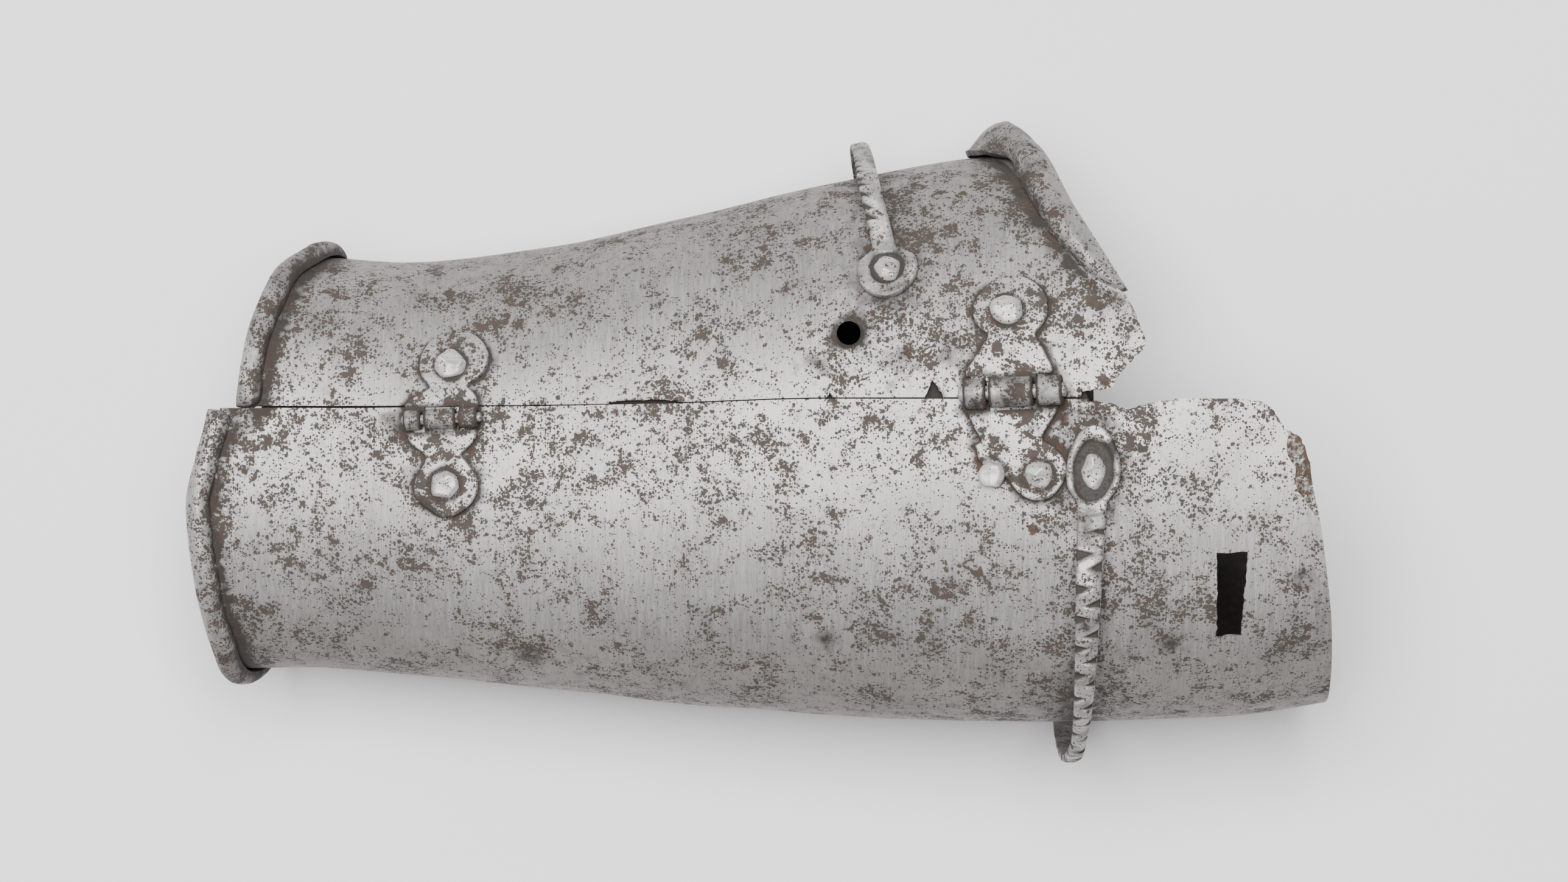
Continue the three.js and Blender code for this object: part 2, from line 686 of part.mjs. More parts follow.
function outerPlate() {
  let body = plate(outerColumns, PLATE_ENDS.outerWrist, PLATE_ENDS.outerElbow);
  body = body.add(flange());
  body = body.add(roll(ROLLS.outerWrist, OUTER_WRIST, -1));
  [BROKEN_OUTER_EDGE, BROKEN_OUTER_CORNER, SLOT].forEach((cut) => {
    body = body.subtract(prism(cut));
  });
  HINGE_RIVETS.forEach((spec, i) => {
    if (spec.side < 0) body = body.subtract(drill(rivetPlaces[i].x, rivetPlaces[i].turn, RIVET.hole));
  });
  outerLoop.ends.forEach((end) => { body = body.subtract(drill(end.x, end.turn, RIVET.hole)); });
  return body;
}

function innerPlate() {
  let body = plate(innerColumns, PLATE_ENDS.innerWrist, PLATE_ENDS.innerElbow);
  body = body.subtract(prism(BROKEN_INNER_CORNER));
  body = body.add(roll(ROLLS.innerWrist, INNER_WRIST, -1, lapDepth));
  body = body.add(roll(ROLLS.innerElbow, INNER_ELBOW, 1, lapDepth));
  EDGE_TEARS.forEach((tear) => { body = body.subtract(prism(tear)); });
  const hole = ROUND_HOLE;
  body = body.subtract(drill(hole.x, turnAt(hole.x, hole.y), hole.radius));
  HINGE_RIVETS.forEach((spec, i) => {
    if (spec.side > 0) body = body.subtract(drill(rivetPlaces[i].x, rivetPlaces[i].turn, RIVET.hole));
  });
  innerLoop.ends.forEach((end) => { body = body.subtract(drill(end.x, end.turn, RIVET.hole)); });
  return body;
}

addPiece('outer_plate', outerPlate(), 'plate');
addPiece('inner_plate', innerPlate(), 'plate');

// Holes that the rivets pass through in each leaf.
function drilledLeaf(hingeName, outline, side) {
  let body = leaf(HINGES[hingeName], outline, side);
  HINGE_RIVETS.forEach((spec, i) => {
    if (spec.hinge === hingeName && spec.side === side) {
      body = body.subtract(drill(rivetPlaces[i].x, rivetPlaces[i].turn, RIVET.hole));
    }
  });
  return body;
}

addPiece('small_hinge_inner_leaf', drilledLeaf('small', LEAVES.smallInner, 1), 'hinge');
addPiece('small_hinge_outer_leaf', drilledLeaf('small', LEAVES.smallOuter, -1), 'hinge');
addPiece('small_hinge_pin', hingePin(HINGES.small), 'hinge');
addPiece('large_hinge_inner_leaf', drilledLeaf('large', LEAVES.largeInner, 1), 'hinge');
addPiece('large_hinge_outer_leaf', drilledLeaf('large', LEAVES.largeOuter, -1), 'hinge');
addPiece('large_hinge_pin', hingePin(HINGES.large), 'hinge');

HINGE_RIVETS.forEach((spec, i) => {
  const lift = 2 * GAP + HINGES[spec.hinge].leaf;
  addPiece(spec.name, rivet(rivetPlaces[i].x, rivetPlaces[i].turn, spec.head, lift), 'rivet');
});

addPiece('inner_strap_loop', innerLoop.body, 'loop');
addPiece('outer_strap_loop', outerLoop.body, 'loop');
[...innerLoop.rivets, ...outerLoop.rivets].forEach(({ name, body }) => addPiece(name, body, 'rivet'));

// The origin is the middle of the armour's box, on the surface that it rests on.
const box = new THREE.Box3().setFromObject(armour);
armour.position.set(-(box.min.x + box.max.x) / 2, -(box.min.y + box.max.y) / 2, -box.min.z);

export default armour;
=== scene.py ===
"""Lower cannon of a vambrace: two steel plates hinged along one seam, lying hinge side up.

Shapes are worked out in millimetres in the armour's own frame: X runs from wrist to elbow, Z is up,
and a turn goes round the arm in a cross section, 0 on the inner crest, 90 on the hinge side, 180 on
the outer crest, 270 or -90 underneath.
"""
import math

import bpy
import numpy as np
from bpy.props import FloatProperty, FloatVectorProperty, IntProperty, PointerProperty
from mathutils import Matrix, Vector


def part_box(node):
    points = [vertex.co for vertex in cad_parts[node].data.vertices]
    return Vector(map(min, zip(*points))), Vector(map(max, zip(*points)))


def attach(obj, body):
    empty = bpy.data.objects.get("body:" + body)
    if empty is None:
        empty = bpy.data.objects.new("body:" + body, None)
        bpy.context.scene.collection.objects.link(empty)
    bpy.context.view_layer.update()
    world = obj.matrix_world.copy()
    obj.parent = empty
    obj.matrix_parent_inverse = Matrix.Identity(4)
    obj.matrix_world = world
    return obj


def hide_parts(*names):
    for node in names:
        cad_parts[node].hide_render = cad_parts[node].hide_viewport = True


bl_info = {
    "name": "Hinged forearm armour",
    "version": (1, 0, 0),
    "blender": (4, 5, 0),
    "location": "3D View > Sidebar > Armour",
    "description": "Dresses the packed forearm armour with worn steel plates, hinges and strap loops",
    "category": "Object",
}

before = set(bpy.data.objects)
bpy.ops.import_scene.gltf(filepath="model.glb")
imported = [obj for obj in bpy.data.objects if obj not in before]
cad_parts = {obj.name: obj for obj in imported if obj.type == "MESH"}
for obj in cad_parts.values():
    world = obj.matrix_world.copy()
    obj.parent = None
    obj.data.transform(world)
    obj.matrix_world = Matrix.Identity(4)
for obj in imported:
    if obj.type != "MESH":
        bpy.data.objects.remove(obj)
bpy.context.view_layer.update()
MM = 0.001

# Driving dimensions, in millimetres

# Outside of the closed armour in cross section: crests in Y, underside and hinge side in Z.
SECTIONS = {
    "x": (-125, -100, -80, -50, -20, 10, 40, 70, 90, 120),
    "inner": (41.5, 39.2, 38.0, 41.2, 47.7, 54.6, 59.8, 61.5, 61.8, 61.5),
    "outer": (-48.2, -48.4, -49.7, -52.7, -55.8, -58.1, -59.3, -59.0, -58.5, -54.2),
    "under": (5.6, 4.3, 2.4, -0.2, -1.2, -1.2, -1.2, -1.2, -1.2, -1.1),
    "top": (69.0, 72.0, 74.8, 79.0, 83.2, 87.4, 91.4, 94.0, 94.6, 94.2),
}
ROUNDNESS = 2.2
PLATE = 1.3
GAP = 0.3
SEAM_GAP = 0.35
LAP_GAP = 1.1
FLANGE = {"width": 5.5, "gap": 0.8, "start": -109, "end": 63}

SEAM = {
    "x": (-125, -71, -24, 9, 38, 64, 120),
    "y": (7.0, 7.0, 7.6, 8.6, 8.6, 8.6, 8.8),
}

# Ends of the two plates round the arm.
OUTER_WRIST = {
    "turn": (60, 79, 101, 123, 145, 165, 180, 200, 225, 285),
    "x": (-119, -119.8, -124.2, -122.8, -120.5, -119, -117.5, -114.5, -113, -114),
}
OUTER_ELBOW = {
    "turn": (60, 96, 107, 115, 134, 157, 180, 220, 260, 275, 285),
    "x": (106, 107.4, 109.5, 110.7, 112.8, 113.8, 114.2, 114, 112.8, 105.5, 105),
}
INNER_WRIST = {
    "turn": (-100, -70, -40, -15, 0, 8, 20, 30, 43, 60, 85),
    "x": (-106, -103.5, -100, -98.5, -99.5, -101, -103.5, -107, -109.5, -112.3, -114.4),
}
INNER_ELBOW = {
    "turn": (-100, -75, -60, -40, -20, 0, 20, 40, 58, 62.5, 68, 90),
    "x": (68, 67.5, 64.5, 58.5, 51.5, 50, 54.8, 59.8, 67.8, 70.4, 75, 78),
}

# Turned edges: from which turn to which, how wide and how high the hollow roll stands.
ROLLS = {
    "outer_wrist": {"from": 78.7, "to": 277, "width": 5.0, "height": 3.6, "taper": 0},
    "inner_wrist": {"from": -66, "to": 77.5, "width": 5.0, "height": 3.5, "taper": 0},
    "inner_elbow": {"from": -58, "to": 62.5, "width": 8.0, "height": 3.9, "taper": 14},
}
TONGUE = {"length": 4.6, "half_turn": 18}
OUTER_CLOSING = 5.5
INNER_CLOSING = -0.5

# Sections of the rolls, from the plate out, up and back to the free edge: shares of the reach and
# of the height. The elbow roll is hammered to two flats with a ridge between them.
ROUND_ROLL = {
    "back": (0.0, -0.45, -0.85, -1.0, -0.85, -0.42, 0.1, 0.55, 0.88, 1.0),
    "up": (0.0, 0.03, 0.24, 0.52, 0.8, 0.97, 1.0, 0.9, 0.66, 0.38),
}
RIDGED_ROLL = {
    "back": (0.0, -0.5, -0.9, -1.0, -0.8, -0.3, 0.12, 0.26, 0.42, 0.8, 1.0),
    "up": (0.0, 0.02, 0.2, 0.42, 0.62, 0.84, 0.98, 1.0, 0.97, 0.8, 0.42),
}

# Cuts seen from above: broken edges, tears, the slot and the round hole.
BROKEN_INNER_CORNER = (
    (69.4, 31.6), (70.6, 28.6), (72.3, 25.2), (73.8, 20.8), (73.4, 18.6), (70.6, 16.1), (68.3, 13.5),
    (67.2, 11.1), (64.4, 10.5), (60.6, 10.2), (60.4, 6.0), (90, 6.0), (90, 31.6),
)
BROKEN_OUTER_EDGE = (
    (61.0, 12), (62.2, 8.3), (66.5, 7.6), (70.3, 6.5), (73.2, 7.2), (76.0, 8.0), (79.5, 8.2),
    (82.8, 12),
)
BROKEN_OUTER_CORNER = (
    (92.5, 12), (94, 8.6), (97.6, 7.9), (99.6, 6.6), (100.7, 4.8), (102.2, 2.6), (105.2, 0.9),
    (106.2, -1.0), (107.2, -4.2), (112, -4.2), (112, 12),
)
EDGE_TEARS = (
    ((27.8, 6), (28.8, 8.6), (30.3, 12.4), (32.6, 9.4), (33.2, 6)),
    ((8.2, 6), (8.7, 8.6), (9.3, 9.9), (10.1, 8.6), (10.6, 6)),
    ((-36.6, 6), (-36.0, 8.1), (-31.0, 8.45), (-26.0, 8.55), (-22.0, 8.35), (-21.4, 6)),
)
# The skin of the outer plate has flaked off the broken corner, to the right of this tear.
FLAKE = {
    "y": (-16.2, -12.5, -9.4, -7.9, -5.3, -3.7, -1.4, 1.3, 2.5),
    "x": (109.1, 106.6, 104.5, 104.2, 104.2, 103.0, 102.5, 102.8, 101.8),
}
FLAKE_DEPTH = 0.55
SLOT = ((88.4, -22.9), (94.8, -22.7), (94.0, -39.8), (89.0, -40.2))
ROUND_HOLE = {"x": 13.3, "y": 22.2, "radius": 2.45}

# Wear charted from the photograph, as pixels of it with sizes in millimetres. Small stains first.
RUST_SPOTS = {
    "px": (1697, 1365),
    "py": (871, 656),
    "radius": (1.1, 0.7),
}
DEEP_PITS = {
    "px": (1878, 2095, 2103, 2112),
    "py": (738, 781, 782, 784),
    "radius": (0.75, 0.4, 0.4, 0.4),
}
BROWN_PATCHES = {
    "px": (1620, 1750, 1838, 1735, 1852),
    "py": (772, 690, 497, 740, 556),
    "radius": (4.2, 2.5, 2.6, 2.0, 1.6),
}
DARK_PATCHES = {
    "px": (1398, 1345, 1560, 1360, 2144, 1925, 870, 1480, 1700, 648),
    "py": (545, 600, 575, 1050, 947, 1054, 1072, 590, 640, 700),
    "radius": (4.5, 3.0, 4.0, 3.0, 4.0, 3.5, 4.0, 4.0, 6.0, 4.0),
}
PIT_CLUSTERS = {
    "px": (
        444, 451, 515, 554, 444, 650, 680, 670, 824, 880, 857, 947, 979, 592, 908, 860, 979, 1120, 1166, 1275,
        1288, 1217, 1436, 1500, 1533, 1346, 1436, 1558, 1623, 1906, 1919, 2048, 2009, 1870, 2144, 2112, 1971,
        567, 515, 721, 753, 567, 837, 857, 927, 1069, 1133, 1120, 1191, 1301, 1365, 1449, 1520, 1494, 1507,
        1558, 1597, 1661, 1777, 1803, 1739, 1829, 1450, 1520, 1878, 1760, 1815, 1862, 1840,
    ),
    "py": (
        734, 779, 889, 902, 1030, 737, 950, 902, 702, 760, 824, 737, 702, 947, 953, 1069, 1011, 745, 799, 734,
        773, 734, 715, 753, 721, 953, 1046, 979, 947, 889, 1005, 683, 670, 700, 947, 1056, 824,
        483, 528, 444, 489, 592, 522, 477, 496, 573, 567, 650, 586, 400, 547, 560, 580, 515, 348,
        386, 335, 322, 541, 509, 451, 567, 1046, 1040, 738, 700, 700, 716, 600,
    ),
    "radius": (
        9, 7, 9, 7, 7, 6, 5, 5, 7, 4, 6, 7, 5, 5, 5, 6, 5, 6, 5, 7,
        5, 5, 8, 7, 6, 6, 4, 6, 6, 4, 6, 6, 5, 6, 6, 6, 5,
        6, 6, 5, 5, 6, 7, 5, 5, 6, 5, 7, 4, 6, 5, 7, 7, 6, 9,
        8, 8, 7, 6, 6, 6, 5, 4, 3, 4, 5, 5, 5, 5,
    ),
}
FLAKE_MIDDLE = (2135, 770)
CHIPPED_RIM = {"px": (691, 700, 710), "py": (827, 833, 839)}

# The hinge axis passes through the middles of both barrels.
HINGES = {
    "small": {
        "at": (-70.4, 4.6, 78.2),
        "barrel": 2.1, "bore": 1.4, "pin": 1.05, "pin_span": (-8.8, 8.2), "leaf": 1.3,
        "inner_knuckles": ((-8.2, -4.55), (3.45, 7.3)),
        "outer_knuckles": ((-3.85, 2.75),),
    },
    "large": {
        "at": (46.6, 10.0, 95.4),
        "barrel": 3.1, "bore": 1.9, "pin": 1.5, "pin_span": (-11.2, 11.0), "leaf": 1.5,
        "inner_knuckles": ((-4.75, 4.25),),
        "outer_knuckles": ((-10.0, -5.45), (4.95, 10.2)),
    },
}
SLOT_CLEARANCE = 0.5
KNUCKLE_END_GAP = 0.35

# Outlines of the hinge leaves: distance away from the axis, then the left and right edges.
LEAVES = {
    "small_hinge_inner_leaf": {
        "away": (0, 2.9, 4.2, 5.5, 6.3, 7.2, 8.6, 10.5, 12.5, 14.5, 16.0, 17.2),
        "left": (-8.2, -8.0, -6.5, -4.0, -2.9, -3.4, -4.6, -5.1, -4.9, -3.9, -2.4, 0.6),
        "right": (7.3, 7.3, 6.9, 5.8, 5.0, 6.2, 8.1, 9.2, 9.4, 8.6, 7.2, 5.0),
    },
    "small_hinge_outer_leaf": {
        "away": (0, 2.9, 4.1, 5.2, 6.6, 7.6, 8.6, 10.2, 12.0, 13.8, 15.5, 17.3, 18.6, 19.7, 20.2),
        "left": (-7.7, -7.7, -7.2, -6.4, -4.6, -3.6, -3.7, -4.6, -5.6, -6.0, -5.9, -4.4, -2.7, -1.2, 0.0),
        "right": (7.2, 7.2, 7.0, 6.4, 4.9, 3.9, 4.6, 5.8, 6.9, 7.4, 7.2, 6.3, 5.0, 3.2, 1.8),
    },
    "large_hinge_inner_leaf": {
        "away": (0, 4.2, 6.5, 9.0, 11.6, 12.4, 14.0, 16.0, 18.0, 20.0, 22.0, 23.3),
        "left": (-9.3, -9.4, -8.0, -6.4, -4.8, -5.6, -7.2, -7.9, -7.6, -6.4, -4.2, -1.5),
        "right": (8.3, 8.4, 7.4, 6.2, 4.9, 5.6, 6.9, 7.5, 7.5, 6.6, 4.6, 1.8),
    },
    "large_hinge_outer_leaf": {
        "away": (0, 3.3, 5.0, 7.0, 9.9, 10.5, 11.5, 13.0, 14.3, 15.6, 17.0, 18.3, 19.8, 21.4, 22.2),
        "left": (-9.9, -9.4, -8.6, -7.7, -6.3, -7.5, -7.2, -6.9, -6.2, -4.2, -1.7, -0.3, 0.8, 2.7, 4.6),
        "right": (10.1, 9.7, 8.9, 7.6, 6.3, 7.0, 8.6, 10.0, 10.8, 11.2, 11.2, 10.8, 9.9, 8.4, 6.6),
    },
}

# Hinge rivets: along the barrel and away from the axis, with the radius of the head.
HINGE_RIVETS = {
    "node": (
        "small_hinge_inner_rivet", "small_hinge_outer_rivet", "large_hinge_inner_rivet",
        "large_hinge_outer_rivet_1", "large_hinge_outer_rivet_2",
    ),
    "along": (1.6, 0.6, -0.7, -4.1, 5.6),
    "away": (10.6, 13.6, 16.2, 16.5, 17.2),
    "head": (3.1, 2.95, 3.15, 2.75, 2.75),
}
# A hinge rivet's head is slightly oval.
HEAD_OVAL = 0.95
RIVET_HEAD_HEIGHT = 1.45
RIVET_TAIL = {"radius": 2.3, "height": 0.8}

# Arched strap loops: two eyes riveted to the plate with a notched bar standing off between them.
LOOPS = {
    "inner": {
        "eye_turn": 53.8, "far_turn": -34,
        "drift": {"turn": (-60, 0, 25, 53.8), "x": (20.5, 17.3, 18.4, 21.6)},
        "eye": 6.2, "roundness": 1.0, "bar": 1.6, "eye_thick": 1.6, "standoff": 5.7, "rise": 13,
        "width_at_eye": 2.4, "width_at_crest": 1.85, "head": (2.6, 2.65),
        "collar": 0, "dish": (0.5, 0.64),
        "notches": {
            "Pitch": 2.4, "Width": 1.9, "Depth": 0.75, "Share": 0.62, "Slant": 0.9, "Both sides": 0,
        },
    },
    "outer": {
        "eye_turn": 95.6, "far_turn": 222,
        "drift": {"turn": (95, 112, 150, 180, 205, 240), "x": (63.2, 62.6, 61.8, 60.7, 60.5, 60.4)},
        "eye": 6.6, "roundness": 0.84, "bar": 1.8, "eye_thick": 1.8, "standoff": 7.0, "rise": 15,
        "width_at_eye": 3.1, "width_at_crest": 1.6, "head": (2.3, 3.5),
        "collar": 6.9, "dish": (0.66, 0.84),
        "notches": {
            "Pitch": 2.95, "Width": 2.5, "Depth": 0.95, "Share": 0.74, "Slant": 0.25, "Both sides": 1,
        },
    },
}
LOOP_RIVET_LIFT = 1.0


# Reading tables

def rows_of(table):
    """A table's rows, each with its column names."""
    return [dict(zip(table, row)) for row in zip(*table.values())]


def read(table, key, column, at):
    """Smooth monotone reading of a table's column between its rows."""
    xs = np.array(table[key], float)
    ys = np.array(table[column], float)
    x = np.clip(at, xs[0], xs[-1])
    row = np.clip(np.searchsorted(xs, x, side="right") - 1, 0, len(xs) - 2)
    slopes = np.diff(ys) / np.diff(xs)
    before, after = slopes[:-1], slopes[1:]
    same_way = before * after > 0
    total = np.where(same_way, before + after, 1.0)
    inside = np.where(same_way, 2 * before * after / total, 0.0)
    tangent = np.concatenate([slopes[:1], inside, slopes[-1:]])
    span = xs[row + 1] - xs[row]
    t = (x - xs[row]) / span
    rest = 1 - t
    return (
        ys[row] * (1 + 2 * t) * rest ** 2
        + span * tangent[row] * t * rest ** 2
        + ys[row + 1] * t * t * (3 - 2 * t)
        + span * tangent[row + 1] * t * t * (t - 1)
    )


def smooth_step(low, high, value):
    t = np.clip((np.asarray(value, float) - low) / (high - low), 0, 1)
    return t * t * (3 - 2 * t)


def ripple(points, size, seed, waves=14):
    """Smooth unevenness between -1 and 1 over points, with hollows about one size across."""
    draw = np.random.default_rng(seed)
    ways = draw.normal(size=(waves, 3))
    ways /= np.linalg.norm(ways, axis=1)[:, None]
    pace = 2 * math.pi / size * draw.uniform(0.5, 1.6, waves)
    phase = draw.uniform(0, 2 * math.pi, waves)
    flat = np.asarray(points, float).reshape(-1, 3)
    total = np.sin(flat @ (ways * pace[:, None]).T + phase).sum(axis=1)
    return (total / math.sqrt(waves / 2) * 0.5).reshape(np.shape(points)[:-1])


# The armour's outside

def section(x):
    """Middle and half size of the cross section at x."""
    inner, outer, under, top = (read(SECTIONS, "x", name, x) for name in ("inner", "outer", "under", "top"))
    return (inner + outer) / 2, (inner - outer) / 2, (top + under) / 2, (top - under) / 2


def rounded(value):
    return np.sign(value) * np.abs(value) ** (2 / ROUNDNESS)


def surface(x, turn):
    """Points on the outside, flattened where the armour rests."""
    x, turn = np.broadcast_arrays(np.asarray(x, float), np.asarray(turn, float))
    y_mid, y_half, z_mid, z_half = section(x)
    y = y_mid + y_half * rounded(np.cos(np.radians(turn)))
    z = z_mid + z_half * rounded(np.sin(np.radians(turn)))
    return np.stack([x, y, np.maximum(z, 0)], axis=-1)


def normal(x, turn):
    x, turn = np.broadcast_arrays(np.asarray(x, float), np.asarray(turn, float))
    along = surface(x + 0.5, turn) - surface(x - 0.5, turn)
    around = surface(x, turn + 0.5) - surface(x, turn - 0.5)
    way = np.cross(around, along)
    return way / np.linalg.norm(way, axis=-1, keepdims=True)


def over(x, turn, height):
    """Points at a height over the outside, negative below it, and never under the floor."""
    points = surface(x, turn) + normal(x, turn) * np.asarray(height, float)[..., None]
    points[..., 2] = np.maximum(points[..., 2], 0)
    return points


def turn_at(x, y, up=1):
    """Turn of the point on the hinge side, or underneath, that stands at y."""
    y_mid, y_half = section(x)[:2]
    share = (y - y_mid) / y_half
    cosine = np.sign(share) * np.abs(share) ** (ROUNDNESS / 2)
    return up * np.degrees(np.arccos(np.clip(cosine, -1, 1)))


def turn_of(points):
    """Turn of any point near the outside, between -110 and 250."""
    y_mid, y_half, z_mid, z_half = section(points[:, 0])
    across = (points[:, 1] - y_mid) / y_half
    up = (points[:, 2] - z_mid) / z_half
    across = np.sign(across) * np.abs(across) ** (ROUNDNESS / 2)
    up = np.sign(up) * np.abs(up) ** (ROUNDNESS / 2)
    turn = np.degrees(np.arctan2(up, across))
    return np.where(turn < -110, turn + 360, turn)


# The photograph's frame: the camera looks straight down over the origin.
PHOTO_WIDTH, PHOTO_HEIGHT = 2576, 1449
CAMERA_HEIGHT = 1345.0
PLANE_HEIGHT = 45.0
MM_PER_PIXEL = 0.129


def from_photo(px, py):
    """Point of the armour's hinge side that stands at a pixel of the photograph."""
    z = 90.0
    for _ in range(6):
        scale = MM_PER_PIXEL * (CAMERA_HEIGHT - z) / (CAMERA_HEIGHT - PLANE_HEIGHT)
        x = (px - PHOTO_WIDTH / 2) * scale
        y = (PHOTO_HEIGHT / 2 - py) * scale
        z = float(surface(x, turn_at(x, y))[2])
    return np.array([x, y, z])


# Meshes

SMALL_AT = np.array(HINGES["small"]["at"])
AXIS = np.array(HINGES["large"]["at"]) - SMALL_AT
AXIS = AXIS / np.linalg.norm(AXIS)
PIN_MIDDLE = SMALL_AT + AXIS * sum(HINGES["small"]["pin_span"]) / 2
PIN_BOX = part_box("small_hinge_pin")
SHIFT = (np.array(PIN_BOX[0]) + np.array(PIN_BOX[1])) / 2 / MM - PIN_MIDDLE


def signed_volume(points, faces):
    a, b, c, d = (points[faces[:, k]] for k in range(4))
    halves = (a * np.cross(b, c)).sum() + (a * np.cross(c, d)).sum()
    return halves / 6


def sheet(front, back):
    """Points and faces of a closed sheet between two grids of points."""
    rows, columns = front.shape[:2]
    points = np.concatenate([front.reshape(-1, 3), back.reshape(-1, 3)])

    def at(face, i, j):
        return face * rows * columns + i * columns + j

    i, j = (grid.ravel() for grid in np.meshgrid(range(rows - 1), range(columns - 1), indexing="ij"))
    faces = [
        np.stack([at(0, i, j), at(0, i + 1, j), at(0, i + 1, j + 1), at(0, i, j + 1)], axis=1),
        np.stack([at(1, i, j), at(1, i, j + 1), at(1, i + 1, j + 1), at(1, i + 1, j)], axis=1),
    ]
    r = np.arange(rows - 1)
    c = np.arange(columns - 1)
    last_row, last_column = rows - 1, columns - 1
    faces += [
        np.stack([at(0, r, 0), at(1, r, 0), at(1, r + 1, 0), at(0, r + 1, 0)], axis=1),
        np.stack([at(0, r, last_column), at(0, r + 1, last_column),
                  at(1, r + 1, last_column), at(1, r, last_column)], axis=1),
        np.stack([at(0, 0, c), at(0, 0, c + 1), at(1, 0, c + 1), at(1, 0, c)], axis=1),
        np.stack([at(0, last_row, c), at(1, last_row, c),
                  at(1, last_row, c + 1), at(0, last_row, c + 1)], axis=1),
    ]
    return points, np.concatenate(faces)


# A solid turned shape starts and ends this far off the axis, so that no ring shrinks to a point.
NEAR_AXIS = 0.01


def lathe(profile, turns=40):
    """Points and faces of a closed shape turned round Z from (radius, height) rows off the axis."""
    profile = np.array(profile, float)
    angle = np.arange(turns) * 2 * math.pi / turns
    ring = np.stack([np.cos(angle), np.sin(angle)], axis=1)
    points = np.concatenate([
        np.column_stack([ring * radius, np.full(turns, height)]) for radius, height in profile
    ])
    rows = len(profile)
    k = np.arange(turns)
    after = (k + 1) % turns
    faces = []
    for row in range(rows):
        low, high = row * turns, (row + 1) % rows * turns
        faces.append(np.stack([low + k, low + after, high + after, high + k], axis=1))
    return points, np.concatenate(faces)


def add_object(name, data):
    """Links a new object that holds a mesh, a lamp or a camera."""
    made = bpy.data.objects.new(name, data)
    bpy.context.scene.collection.objects.link(made)
    return made


def add_mesh(name, points, faces):
    """A new object from points in millimetres of the armour's own frame."""
    mesh = bpy.data.meshes.new(name)
    mesh.from_pydata(((np.array(points) + SHIFT) * MM).tolist(), [], faces)
    mesh.update()
    return add_object(name, mesh)


def add_layer(mesh, title, kind, values):
    """Stores a number or a vector for each point of a mesh."""
    layer = mesh.attributes.new(title, kind, "POINT")
    key = "vector" if kind == "FLOAT_VECTOR" else "value"
    layer.data.foreach_set(key, np.asarray(values, np.float32).ravel())


def make_object(name, parts):
    """One mesh object from closed parts in millimetres of the armour's own frame."""
    points = []
    faces = []
    count = 0
    for part_points, part_faces in parts:
        if signed_volume(part_points, part_faces) < 0:
            part_faces = part_faces[:, ::-1]
        points.append(part_points)
        faces.append(part_faces + count)
        count += len(part_points)
    return add_mesh(name, np.concatenate(points), np.concatenate(faces).tolist())


def make_prisms(name, outlines, low=55.0, high=110.0):
    """One cutter object of upright prisms over outlines seen from above."""
    points = []
    faces = []
    for outline in outlines:
        start = len(points)
        count = len(outline)
        points += [(x, y, low) for x, y in outline] + [(x, y, high) for x, y in outline]
        area = sum(a[0] * b[1] - b[0] * a[1] for a, b in zip(outline, outline[1:] + outline[:1]))
        floor = list(range(start, start + count))
        roof = list(range(start + count, start + 2 * count))
        if area < 0:
            floor.reverse()
            roof.reverse()
        faces.append(floor[::-1])
        faces.append(roof)
        for k in range(count):
            after = (k + 1) % count
            faces.append((floor[k], floor[after], roof[after], roof[k]))
    return add_mesh(name, points, faces)


def ragged(outline, step, depth, seed):
    """An outline with fine uneven teeth between its points."""
    draw = np.random.default_rng(seed)
    corners = [np.array(point, float) for point in outline]
    points = []
    for a, b in zip(corners, corners[1:] + corners[:1]):
        length = np.linalg.norm(b - a)
        side = np.array([b[1] - a[1], a[0] - b[0]]) / length
        count = max(int(length / step), 1)
        for k in range(count):
            along = (k + draw.uniform(-0.25, 0.25) * (k > 0)) / count
            points.append(tuple(a + (b - a) * along + side * draw.normal(0, depth)))
    return points


def bake_modifiers(made):
    """Replaces an object's mesh by its evaluated one and removes its modifiers."""
    depsgraph = bpy.context.evaluated_depsgraph_get()
    mesh = bpy.data.meshes.new_from_object(made.evaluated_get(depsgraph))
    made.modifiers.clear()
    made.data = mesh
    mesh.name = made.name


def combine(base, other, operation):
    """Joins another closed object to a base, or cuts it out, and removes it."""
    change = base.modifiers.new("combine", "BOOLEAN")
    change.solver = "MANIFOLD"
    change.operation = operation
    change.object = other
    bake_modifiers(base)
    bpy.data.objects.remove(other)
    if not base.data.vertices:
        raise RuntimeError(f"{base.name} lost its mesh in {operation}")


def mesh_points(made):
    """An object's points in millimetres of the armour's own frame."""
    flat = np.empty(3 * len(made.data.vertices))
    made.data.vertices.foreach_get("co", flat)
    return flat.reshape(-1, 3) / MM - SHIFT


def smooth(made, angle=38):
    made.data.shade_smooth()
    made.data.set_sharp_from_angle(angle=math.radians(angle))


def set_mark(made, name, values):
    add_layer(made.data, name, "FLOAT", np.clip(values, 0, 1))


def set_grain(made, along, around):
    """Millimetres along the arm and round it, which the brush marks follow."""
    add_layer(made.data, "grain", "FLOAT_VECTOR", np.column_stack([along, around, np.zeros(len(along))]))


def near(points, places, radius):
    """How close points lie to any of some places, 1 on them and fading over a radius."""
    best = np.full(len(points), 1e9)
    for place in np.asarray(places, float).reshape(-1, 3):
        gap = ((points - place) ** 2).sum(axis=1)
        np.minimum(best, gap, out=best)
    return np.exp(-best / radius ** 2)


# The plates

